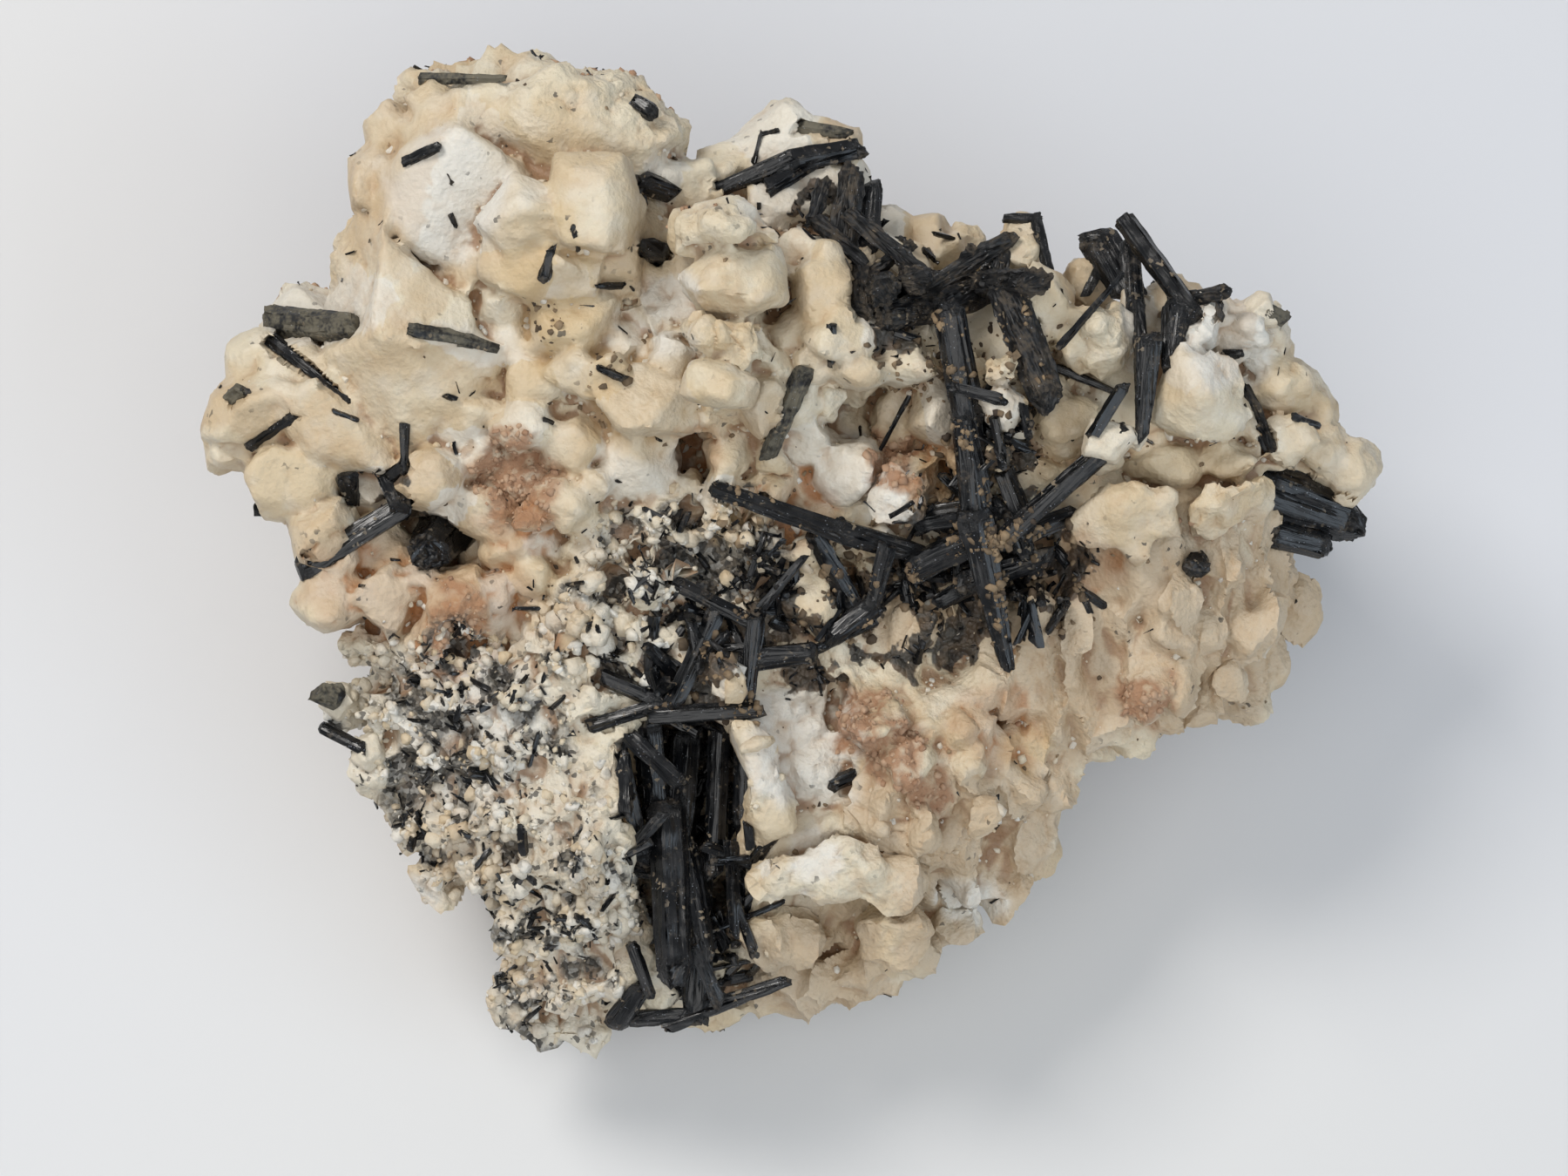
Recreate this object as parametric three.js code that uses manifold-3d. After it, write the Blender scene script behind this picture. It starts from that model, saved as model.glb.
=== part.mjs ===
// A hand specimen of black tourmaline: schorl prisms grown through a mass of cream feldspar.
// Units are millimetres. The rock is modelled face on: the first number of a place runs to the
// right, the second runs up, and the third comes out towards the viewer. The finished rock is then
// leaned back onto its broken base, with +Z up.
import * as THREE from "three";
import { ConvexGeometry } from "three/addons/geometries/ConvexGeometry.js";
import { mergeVertices } from "three/addons/utils/BufferGeometryUtils.js";
import Module from "manifold-3d";

const wasm = await Module();
wasm.setup();

// Driving dimensions
const LEAN = THREE.MathUtils.degToRad(14); // how far the face leans back from level
const BASE_DEPTH = 34; // from the middle of the face straight down to the base
const ROOT = 11; // how deep a lump reaches into the rock below its widest part
const ROOT_LEAN = 0.16; // how far a lump's root leans towards the middle of the rock
const BURIED = 0.8; // share of a lump's depth that the core rises to
const SOCKET_GAP = 0.3; // room between a prism and the feldspar around it
const SEAT = 0.45; // share of a lying prism's thickness that is sunk in the feldspar
const CORE_SIDES = 46; // points in each ring of the core
const KNOBS = 44; // knobs around the flank
const KNOB_HEIGHT = 6; // how far a knob stands out
const FLANK_TOP = -12; // the knobs end below this
const GOLDEN_TURN = 0.618034; // spreads the knobs evenly around the rock
const FUSE = 0.15; // prisms closer than twice this have grown together
const LEAST_CONTACT = 0.01; // volume that prisms share at least where they have grown together
const SMOOTHING = 1.15; // unevenness that the broken feldspar may lose
const SIMPLIFYING_ROUNDS = 4;
const CLEAN_UP = 0.13; // the same, once the sockets are cut
const CRYSTAL_CLEAN_UP = 0.18; // the same, for the prisms
const BROAD_LUMP = 4.4; // a lump with a half width over this is rounder
const LUMP_DEPTH = 0.55; // a lump's half depth, as a share of its half width and half height
const LUMP_SWELL = 0.09; // how uneven a lump is
const LUMP_TURN = 12; // how far a lump may be turned from its place in the list, in degrees
const ROOT_TAPER = 0.2; // how much narrower a lump's root gets on its way down
const CORE_ROUGHNESS = 0.5; // how uneven the core is
const KNOB_RADIUS = 11;
const KNOB_RADIUS_SPREAD = 3.5;
const KNOB_SPREAD = 3; // how far a knob may lie above or below its ring
const CROWN_REACH = 4; // evens out the crown close to the middle of a lump
const HOLLOW_REACH = 40; // how far out a hollow's cutter reaches from its floor
const HOLLOW_FLARE = 0.1; // how much wider a hollow gets towards the viewer
const HOLLOW_ROUNDING = 0.7; // how round a hollow's floor is, as a share of its half width
const HOLLOW_SWELL = 0.05; // how uneven a hollow's wall is
const BROAD_PRISM = 2.6; // a prism wider than this has six sides and a tapered foot
const BEVEL = 0.25; // length of a prism's bevelled end, as a share of its width
const LONGEST_BEVEL = 0.2; // the same, as a share of its length
const FOOT = 0.9; // size of a prism's near end, as a share of its width
const TAPERED_FOOT = 0.78; // the same, where the foot is tapered
const POINT = 0.72; // size of the broken end, as a share of the tip
const FAR_OUT = 90; // farther out than any feldspar
const INWARD_STEP = 0.02; // step of the search for the nearest feldspar inwards
const CUTTER = 300; // size of the box that breaks away all below the base

// Colours
const FELDSPAR = new THREE.MeshStandardMaterial({ color: 0xd9c6a5, roughness: 0.6, metalness: 0 });
const SCHORL = new THREE.MeshStandardMaterial({ color: 0x1d1e20, roughness: 0.35, metalness: 0 });

// The widest outline of the rock's core, seen face on: right, up.
const CORE_OUTLINE = [
  [-40, 52], [-28, 55], [-17, 50], [-10, 44.5], [-2, 48.5], [5, 47], [10, 41], [17, 37], [25, 36],
  [34, 33], [45, 31], [54, 26], [61, 16], [58, 5], [57, -6], [51, -14], [39, -16.5], [31, -21],
  [28, -31], [18, -39], [5, -43.5], [-5, -46], [-14, -48], [-28, -49], [-32, -39], [-42, -30],
  [-47, -15], [-49.5, 0], [-56, 12], [-58, 25], [-49, 33], [-44, 43],
];
const CORE_MIDDLE = [-2, 3];
// The core's flank from the base up: out, share of the outline. Above it the crown's rings, whose
// height follows the lumps, close in by these shares.
const FLANK_RINGS = [
  [-62, 0.6], [-54, 0.65], [-46, 0.7], [-38, 0.77], [-30, 0.84], [-23, 0.91], [-16, 0.97], [-10, 1],
];
const CROWN_SHARES = [0.97, 0.89, 0.79, 0.68, 0.56, 0.44, 0.31, 0.17];

// Rounded lumps of feldspar: right, up, out to the top, half width, half height, turn in degrees.
const LUMPS = {
  crest: [
    [-37, 53, 12, 9, 6, 0], [-27, 54, 14, 9, 6.5, 0], [-19, 51.5, 12, 7, 7, 0],
    [-41, 56, 4, 4.5, 3.6, 0], [-38.5, 58, -1, 5, 3, 0], [-28.5, 58.6, 1, 4, 3.2, 0],
    [-22, 57, 6, 4.5, 3.2, 0], [-17, 54.8, 8, 3.4, 2.8, 0], [-13.6, 52, 6, 3.4, 3, 0],
    [-12, 49.8, 4, 2.6, 2.4, 0], [-15, 49, 8, 4, 4, 0], [-33, 56.5, 8, 5, 3.4, 0],
    [-24, 49, 12, 6, 4, 10], [-18, 46, 9, 4, 4, 0],
  ],
  leftEdge: [
    [-46.5, 46.5, 4, 3, 4, 0], [-45, 52.5, 2, 2.6, 3, 0], [-55.5, 31, -5, 4, 3.4, 0],
    [-60.2, 25.5, 3, 4, 4, 0], [-59.5, 20.3, 9, 7, 4.6, 15], [-63.6, 16.6, 5, 3.2, 2.8, 0],
    [-56, 12.4, 8, 6, 4.6, -10], [-51.5, 18.4, 11, 6.6, 4.6, -42], [-47, 11.6, 5, 3, 2.4, 0],
    [-52.6, 5.6, 10, 3.8, 4, 0], [-51.8, -1, 9, 4.4, 3.4, 0], [-45.2, -1.2, 8, 3.6, 3.6, 0],
    [-47, 5, 4, 4, 3.4, 0], [-37.4, -1.8, 9, 3.8, 4, 20], [-33, -0.4, 8, 2.2, 2.2, 0],
    [-33, -4.4, 6, 3, 2.8, 0], [-40.6, -6, 9, 1.8, 2.8, 0], [-56, 24, 7, 5, 4, 0],
    [-41.4, 1.2, 7.5, 2.4, 2, 0], [-54.5, 9.2, 5, 2.6, 2, 0],
  ],
  belowWedge: [
    [-40.5, 12.5, 12, 4.4, 3.6, 25], [-36, 16, 10, 4, 3.4, 0], [-36.5, 19.8, 11.5, 4.6, 3, 0],
    [-33.4, 8, 9, 3.4, 2.8, -20], [-37.4, 9.6, 8.5, 3.4, 2.4, 0], [-31.2, 5, 9, 3.2, 2.6, 0],
    [-28.6, 1.4, 9, 2.4, 2.4, 0], [-28.4, 5.2, 8, 2.4, 2, 0], [-35.5, 4.6, 4, 2.6, 2.6, 0],
  ],
  roundCluster: [
    [-29, 41.2, 20, 5, 4.8, 0], [-21.6, 43.4, 21, 5.4, 5.6, 0], [-28.4, 35.8, 17, 4.8, 3.6, 0],
    [-31.6, 31.8, 13, 2.8, 2.8, 0], [-24.4, 35, 16, 4, 3.6, 0], [-20, 37, 14, 4, 4, 0],
    [-24, 30, 14, 4.6, 4, 0], [-28.4, 23.4, 12, 3.4, 2.4, 0], [-23.6, 24.6, 15, 3, 2.8, 0],
    [-29.2, 18.4, 13, 3.2, 2.8, -20], [-24, 16.4, 12, 3.2, 3.2, 0], [-17.4, 14, 11, 5, 4.6, 0],
    [-24.6, 9.6, 13, 3, 3, 0], [-21.4, 11.8, 12, 2, 2, 0], [-27.6, 7.6, 11, 1.8, 1.4, 0],
    [-21.8, 6.8, 10.5, 2.6, 2, 0], [-30.5, 27.5, 10, 3.6, 2.4, 0],
  ],
  goldenKnob: [
    [-15.4, 21.2, 18, 5.6, 4.2, 0], [-19.6, 23.6, 15.5, 3, 2.6, 0], [-19, 28, 13, 3, 3, 0],
  ],
  frontBlocks: [
    [-5.4, 34.4, 22, 5.4, 3.8, 0], [-7.4, 22.6, 26, 3.9, 2.6, -18], [-2.2, 20.8, 19, 2.8, 3.4, 10],
    [1.6, 38, 13, 2.4, 2.6, 0], [-6.2, 15.4, 11.5, 2.6, 3, 0], [-12.6, 26, 12, 2.4, 2.4, 0],
  ],
  arch: [
    [4.4, 33.6, 16, 3.4, 4, 0], [6.2, 28.6, 18, 4, 3.8, 0], [4.8, 37, 13, 2.2, 2.4, 0],
    [12.6, 25.6, 15, 4.6, 2.8, -10], [8.4, 24.4, 16, 3.2, 2, 0], [13.6, 19.6, 6, 3.4, 3.4, 0],
    [17.6, 20.2, 11, 3.4, 3.6, 0], [2.6, 16.6, 12, 2.4, 2.8, 0], [2, 20.6, 13.5, 2, 3, -20],
    [7, 13.6, 11, 4, 3.2, 20], [1.5, 28.5, 15, 3, 3, 0], [10.6, 29, 14, 3, 3, 0],
    [3.4, 24.8, 15.5, 2.2, 2, 0],
  ],
  topRightLobe: [
    [0.6, 48.6, 3, 7, 5.8, -10], [-6, 47.4, 3, 3.8, 3.8, 0], [-10.4, 46, 5, 3.2, 3.2, 0],
    [-12.6, 46.6, 7, 2.4, 2.6, 0], [6, 44.4, 4, 4, 4.6, 0], [12.6, 41, -2, 1.8, 3, 0],
    [16, 40, -5, 3.4, 3.2, 0], [19.4, 37.8, -4, 4, 3, 0], [8.6, 37.6, 8, 2, 2, 0],
    [11.2, 38.2, 5, 2.4, 2.4, 0], [14.2, 35.8, 7, 3, 3, 0], [-0.5, 44, 5, 4, 3, 0],
    [5, 50.5, 2.5, 3.4, 3.4, 0],
  ],
  rightShoulder: [
    [27, 39.2, 8, 2, 3.3, -8], [29.4, 31.2, 13, 3, 3, 0], [40.6, 31, 8, 2, 3, 0],
    [24.6, 20.4, 17, 2.1, 2.2, 0], [25.8, 17.8, 15.5, 1.4, 1.8, 0], [24, 14.8, 16, 1.5, 1.5, 0],
    [32, 18.6, 12, 4.8, 3.8, 0], [47, 30, 13, 3, 3, 0], [51.6, 29.4, 9, 3, 3.4, 0],
    [55, 28, 6, 2.8, 3.6, 0], [56.6, 23.4, 6, 4, 3.6, 0], [60.4, 19.8, 2, 3, 3.2, 0],
    [64, 13.6, 3, 3.6, 4, 0], [57, 17, 8, 4.2, 3, 0], [43.4, 14, 10, 4.4, 2.4, 0],
    [50, 14.6, 9, 4, 2.4, 0], [45, 33, 7, 3, 2, 0], [22.6, 29, 7, 3, 2.6, 0],
    [34.6, 35, 3, 2.6, 2.6, 0], [61.5, 16, 4, 2.6, 2.6, 0], [30, 22.6, 10, 3, 2.4, 0],
  ],
  rightFlank: [
    [40, 3.6, 15, 2.8, 2.1, 0], [44.4, 5.4, 10, 3, 2.2, 0], [51.4, 2.2, 9, 1.8, 3.4, -15],
    [55, 2.8, 5, 2.4, 2.4, 0], [45.8, -1.4, 12, 2.6, 3.8, -10], [43.2, -5, 10, 2.6, 3.4, 0],
    [53.4, -4, 6, 4.6, 3.8, 0], [59.6, -2.2, -6, 3, 4, 0], [57.6, 1.6, -3, 2.4, 2.4, 0],
    [57, -8, -5, 3, 3.2, 0], [53.6, -13, -5, 3, 3, 0], [50.8, -10.6, 5, 2.8, 2.6, 0],
    [45.4, -11, 8, 2.6, 3.4, 0], [48, -14.4, 2, 2.8, 2.2, 0], [44, -14.8, 3, 2.8, 2.2, 0],
    [40, -17, 2.5, 3, 2.2, 0], [36.6, -17.8, 1.5, 2.8, 2, 0], [48.6, -5.4, 7, 2.4, 3, 0],
    [49.5, 5.2, 8, 2.6, 2.2, 0],
  ],
  flutes: [
    [33.4, -3, 8, 2.2, 5, 0], [38.2, -3.4, 7, 2.6, 4.6, 8], [33, -9.4, 6, 2.6, 3.2, 0],
    [29, -10, 5, 2.4, 2.4, 0], [28.6, -3.2, 11, 1.5, 3.2, 4], [26, -11.6, 6, 2.8, 1.8, 0],
    [35.4, -14, 5, 2.2, 2.8, 0], [31.6, -16.4, 4, 1.8, 3.6, 0], [33, -19.6, 1, 2, 2.4, 0],
    [38, -10, 5, 2.6, 3, 0], [20.2, -4, 4.5, 4, 5, 10], [12.6, -3.6, 6.5, 3.6, 3.4, 0],
    [14.4, 1.6, 5.5, 4, 2.4, 0], [16.2, -5.4, 9, 1.1, 3.4, -12], [24.5, 1, 5, 4, 4, 0],
  ],
  pinkPatches: [
    [-31, 12.4, 9.5, 4.8, 4, 10], [10.6, -15.4, 14, 3.6, 3.2, 0], [13.6, -20, 13, 4, 3.4, -30],
    [42, -12, 9.5, 2.1, 3.8, -12], [-33, 14.5, 8.5, 3, 2.6, 0],
  ],
  lowerRight: [
    [20.8, -19.6, 9, 3, 2.6, -30], [19.4, -15.6, 9.5, 2, 2.8, 0], [23.4, -26, 9.5, 2.4, 2.6, 0],
    [20, -28.8, 5.5, 1.5, 2.8, 0], [15.6, -27.2, 11.5, 2.6, 3.6, 10], [11, -26, 10, 2.1, 3.4, 0],
    [3.6, -20, 6, 5, 7.6, 0], [-3.7, -19.4, 13, 2.4, 5.4, 8], [-1.4, -26.4, 12, 2.8, 3, -20],
    [0, -40, 3, 7, 3.6, 0], [-3.4, -38.6, 4.5, 3.4, 2.8, 0], [5, -44.8, -2, 8.4, 3.4, 4],
    [13, -42.8, 0, 4.6, 3, 10], [0, -47.4, -6, 6, 2.8, 0], [-8.6, -48.6, -6, 6, 2.8, 0],
    [19, -39.6, -2, 4, 2.8, 0], [24.4, -34.4, 0, 4, 4.6, 40], [28.6, -28, 0, 4, 5.6, -10],
    [30.6, -23.4, 1, 4, 3.6, 0], [21.4, -35, 2.5, 1.8, 2.1, 0], [24.6, -20, 6, 2.8, 2.8, 0],
    [7, -9.4, 7.5, 4.6, 1.8, 6], [13.4, -9.6, 6.5, 4, 2.2, 0], [2, -11.4, 6.5, 2.2, 3, 0],
    [27.4, -23, 4.5, 2.2, 3.6, 0],
  ],
  middle: [
    [-7, 9.8, 12, 2.2, 3.4, -10], [-2.4, 10.4, 11, 3.4, 2.6, 0], [-3.4, 5, 11, 4.3, 3.4, 0],
    [-14, 6.8, 10.5, 4.2, 3, 0], [-21, 3.6, 11, 2.6, 2.8, 0], [-14.8, 0.4, 11.5, 4, 3, 0],
    [-23.4, -0.4, 10.5, 3.2, 2.6, 0], [-22.4, -4.6, 11.5, 2.4, 2, 0], [-14.6, -5.2, 9.8, 3.6, 2.4, 0],
    [-5.2, 1.2, 9, 3, 2.4, 0], [3.2, -1.4, 9, 3.4, 3.6, 0], [11, 5.2, 8.5, 2.4, 1.8, 0],
    [2.4, 4.4, 9.5, 2.6, 2.2, 0], [-9, 4, 9.4, 3, 3, 0],
  ],
  granularMass: [
    [-47.6, -6.8, 5, 4.4, 3.4, 0], [-41.4, -8.4, 8, 4.2, 2.8, 10], [-34.4, -8, 9, 4.4, 2.8, 0],
    [-29, -6.2, 9.5, 3, 3, 0], [-50, -13.4, 3, 3, 3.4, 0], [-44.6, -14.6, 7.5, 4.3, 3.4, 0],
    [-37.6, -13.2, 10, 4.3, 3, 0], [-30.6, -12.6, 11, 4, 3.4, 0], [-25.6, -8.8, 12, 3.2, 3.4, 0],
    [-24.4, -14.4, 10, 3.2, 2.6, 0], [-46.4, -20.6, 5.5, 4.2, 4, 0], [-39.6, -20, 9.5, 4.3, 3.2, 0],
    [-32.4, -18.6, 11.5, 4.3, 3, 0], [-25.4, -19.4, 11, 4, 3.6, 0], [-42.6, -27, 4.5, 4, 3.8, 0],
    [-36.6, -26.4, 8.5, 4.2, 3.4, 0], [-30.2, -26, 11, 4, 3.2, 0], [-23.6, -25, 12.5, 3, 3.4, 0],
    [-40, -33, 2.5, 3.4, 3.8, 0], [-34.2, -32.4, 7, 4.2, 3.6, 0], [-28.4, -32.6, 10, 3.8, 3.4, 0],
    [-22.4, -30.8, 15, 3.6, 3.4, 0], [-31, -39.4, 5.5, 4, 4, 0], [-25, -39, 8.5, 4, 3.6, 0],
    [-20.2, -37.4, 8.5, 2.6, 3.4, 0], [-30.6, -46, 2, 4.2, 4.4, 0], [-24.4, -45.8, 4.5, 4.2, 4, 0],
    [-19.4, -44.4, 5, 2.4, 3.2, 0], [-28, -50.6, -3, 4.3, 2.6, -10], [-22.8, -51.4, -3, 3, 2.8, 0],
    [-14.8, -46.4, 1.5, 2.6, 2.6, 0],
  ],
};

// Feldspar crystals and cleavage blocks with flat faces: the corners of each, right, up, out.
const BLOCKS = {
  whiteFace: [
    [-43, 49.6, 13], [-36, 51.6, 15], [-30.4, 48, 13], [-29.4, 45.4, 11], [-33, 36, 8],
    [-37, 35.4, 9], [-43, 39, 12], [-45.6, 44, 10], [-47.6, 44, 0], [-45, 52, 2],
    [-46, 46, -15], [-30, 46, -15], [-34, 38, -15],
  ],
  leftRidge: [
    [-45.6, 50, 9], [-44.6, 42, 13.6], [-44.4, 38.8, 14], [-46.6, 28.4, 16.4], [-49.2, 44, 0],
    [-53.6, 31.4, 0], [-51.6, 37, -1], [-46, 45, -14], [-50, 33, -14],
  ],
  wedgeFacet: [
    [-44.3, 39, 13.4], [-46.5, 28.4, 16.6], [-41, 26.6, 16.4], [-36, 28.4, 14.4], [-34, 30.4, 12],
    [-39, 35, 12], [-45, 38, -10], [-47, 29, -10], [-36, 30, -10],
  ],
  wedgeBody: [
    [-46.6, 28.4, 15.4], [-36, 28.6, 14], [-31, 27.6, 12], [-30.2, 23.4, 10], [-32.8, 20.2, 9],
    [-38.4, 21.4, 12], [-43.8, 13.6, 8], [-45, 14.6, 6], [-52.4, 26.2, 9], [-53.4, 31.6, -2],
    [-50, 30, -15], [-32, 30, -15], [-42, 15, -14],
  ],
  vugFin: [
    [-6.2, -14.6, 13], [-3.8, -15, 13.4], [-1.8, -18, 12.6], [-0.2, -22, 12], [1.4, -27.6, 11],
    [-0.8, -29.4, 10.4], [-3.2, -26.8, 11.6], [-5.2, -24, 13], [-6, -19, 14], [-4, -17, 2],
    [-2, -26, 1],
  ],
  whiteTriangle: [
    [-13.4, 35.2, 12], [-16.2, 31.6, 11], [-13.8, 30.6, 12.4], [-10.8, 31, 11], [-11, 34, 9],
    [-13, 33, -6],
  ],
  whiteBlock: [
    [-18.6, 29, 13], [-12, 29.6, 14], [-10.4, 25, 14.5], [-14.2, 24.2, 15], [-19, 26.6, 13],
    [-17, 30.4, 9], [-14, 27, -6],
  ],
  smallWhiteBlock: [
    [-19.4, 34, 10], [-16.4, 33.4, 10], [-16.2, 30.6, 10.6], [-18.8, 29.8, 11], [-20.6, 31.6, 9],
    [-18, 32, -6],
  ],
  upperFrontBlock: [
    [-11.4, 44.6, 21], [-8, 43, 24.5], [-4.6, 46.2, 19], [-1, 43.6, 20], [0.2, 40.2, 18],
    [-0.6, 37.4, 17], [-6, 36, 22.5], [-12.4, 37, 20], [-12.6, 40, 22], [-6.4, 40.4, 25.5],
    [-11, 43, 2], [-1, 42, 2], [-6, 36, 2],
  ],
  lowerFrontBlock: [
    [-10.6, 31, 20], [-4, 31.4, 22.5], [-0.4, 30, 19], [0.8, 27, 17], [-0.6, 21, 17],
    [-3.4, 19.6, 17], [-10.4, 24, 21], [-7, 28, 24], [-3, 26, 23.5], [-9.4, 29, 2], [-1, 27, 2],
    [-4, 20.4, 2],
  ],
  shoulderPyramid: [
    [26.4, 34, 12], [28, 37.4, 10], [32, 35.6, 10], [33.6, 33.6, 9], [32, 30.4, 12],
    [30.2, 30.4, 14], [29.6, 34.4, 15], [29, 33, -8], [32, 32, -8],
  ],
  shoulderBlock: [
    [31.4, 31, 14], [35, 33, 13], [39, 32, 11], [40.6, 29.4, 11], [38, 24, 12], [32.6, 25, 12],
    [30.4, 28, 13], [35.6, 29, 16], [33, 28, -8], [38, 28, -8],
  ],
  cube: [
    [22.4, 26.2, 16], [26.4, 27, 16], [26.6, 23.8, 17], [24.6, 22.2, 18], [22.2, 23.2, 17],
    [24.4, 25.6, 19], [24.4, 24.4, 0],
  ],
  shoulderPlate: [
    [34.4, 19.4, 12], [37.6, 20.4, 13], [38.6, 16, 14], [37, 13.6, 14], [34.2, 13.2, 12],
    [36, 17, 0],
  ],
  bigFacet: [
    [44.4, 28.2, 15], [48, 27.6, 14], [50.4, 25.6, 13], [53, 20.6, 12], [54.6, 17.4, 10],
    [50.6, 16, 12], [46, 17, 14], [40.8, 18.4, 12], [43, 24.6, 15], [47, 22.6, 18],
    [45, 27, -8], [52, 22, -8], [46, 19, -8],
  ],
  starPlate: [
    [9.4, 13, 11], [11.6, 14, 12], [16, 11.4, 13], [17.2, 8.6, 12], [14.4, 7.2, 13],
    [11, 8.4, 13.6], [9, 10.6, 12], [13, 10.4, 2],
  ],
  rimmedPlate: [
    [31.4, 7.6, 12], [35.8, 11.4, 14], [41, 13, 15], [44, 10.8, 14], [44.2, 7, 13],
    [38.4, 4.4, 13], [33, 4.4, 11], [38, 9, 16], [36, 8, 0], [41, 9, 0],
  ],
  rightBlock: [
    [44.8, 9.4, 12], [50, 12.4, 13], [54.8, 13, 12], [55, 10, 11], [50.4, 6, 10], [46.4, 6.6, 11],
    [50, 9.6, 14.5], [49, 9, -4], [53, 10, -4],
  ],
  ledge: [
    [-4.4, -34.6, 9], [-2, -32.2, 10], [2.4, -30.2, 10.5], [8, -29.2, 10.5], [16.6, -32, 9],
    [17, -36.8, 8.5], [8, -36.4, 9.4], [-2, -35.6, 9], [0, -31, 0], [15, -33, -2], [7, -31, -4],
  ],
  lowerTriangle: [
    [7, -37.4, 5.6], [16.6, -37.8, 6.4], [15.6, -41.6, 5], [13, -43.6, 3.6], [10.8, -42, 4.6],
    [12.6, -38.6, 7], [12, -39, -8],
  ],
  whiteFragment: [
    [-8.6, -6.2, 12], [-7, -8.6, 14.5], [-4.8, -9, 14], [-3.8, -11.2, 12.6], [-6, -12.6, 12],
    [-8.4, -10, 13], [-6.4, -9.6, 4],
  ],
};

// Hollows cut into the feldspar: right, up, out to the floor, half width, half height, turn.
const HOLLOWS = [
  [-11.5, -22, -13, 8.4, 8.6, 0], [-10.6, -32, -10, 6.8, 8, 0], [-11.4, -40.5, -3, 4.6, 4.4, 0],
  [-10.2, 15.4, -3, 2.5, 3, 0], [8.6, 20, 0, 4.4, 2.9, 15], [-0.6, 33, 8, 1.7, 3, 10],
  [26, -15, -2, 4, 1.9, -12], [3.4, -36.6, -4, 4.8, 0.9, -4], [6.2, -13.4, 0, 1.6, 3.2, 0],
  [-35, -15.2, 4, 3, 0.8, -8], [-33, -22.8, 2, 3.2, 0.9, 4], [-20.6, -3, 5, 1, 1, 0],
  [18.6, 12, 0, 2.6, 3.4, 0], [36.5, -15.8, -2, 1, 1, 0], [17.6, -35, -6, 1.2, 3.4, 0],
  [-39.8, 5.4, -4, 4.6, 4, 0], [-29.6, -2.4, 2, 1.2, 1.6, 0], [6.6, 2, 2, 2, 2.4, 0],
  [52, -1.4, 2, 1.8, 1, 20], [27, 5, 1, 5, 4.4, 0], [-22.4, 7.2, 5, 0.8, 0.8, 0],
];

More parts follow.
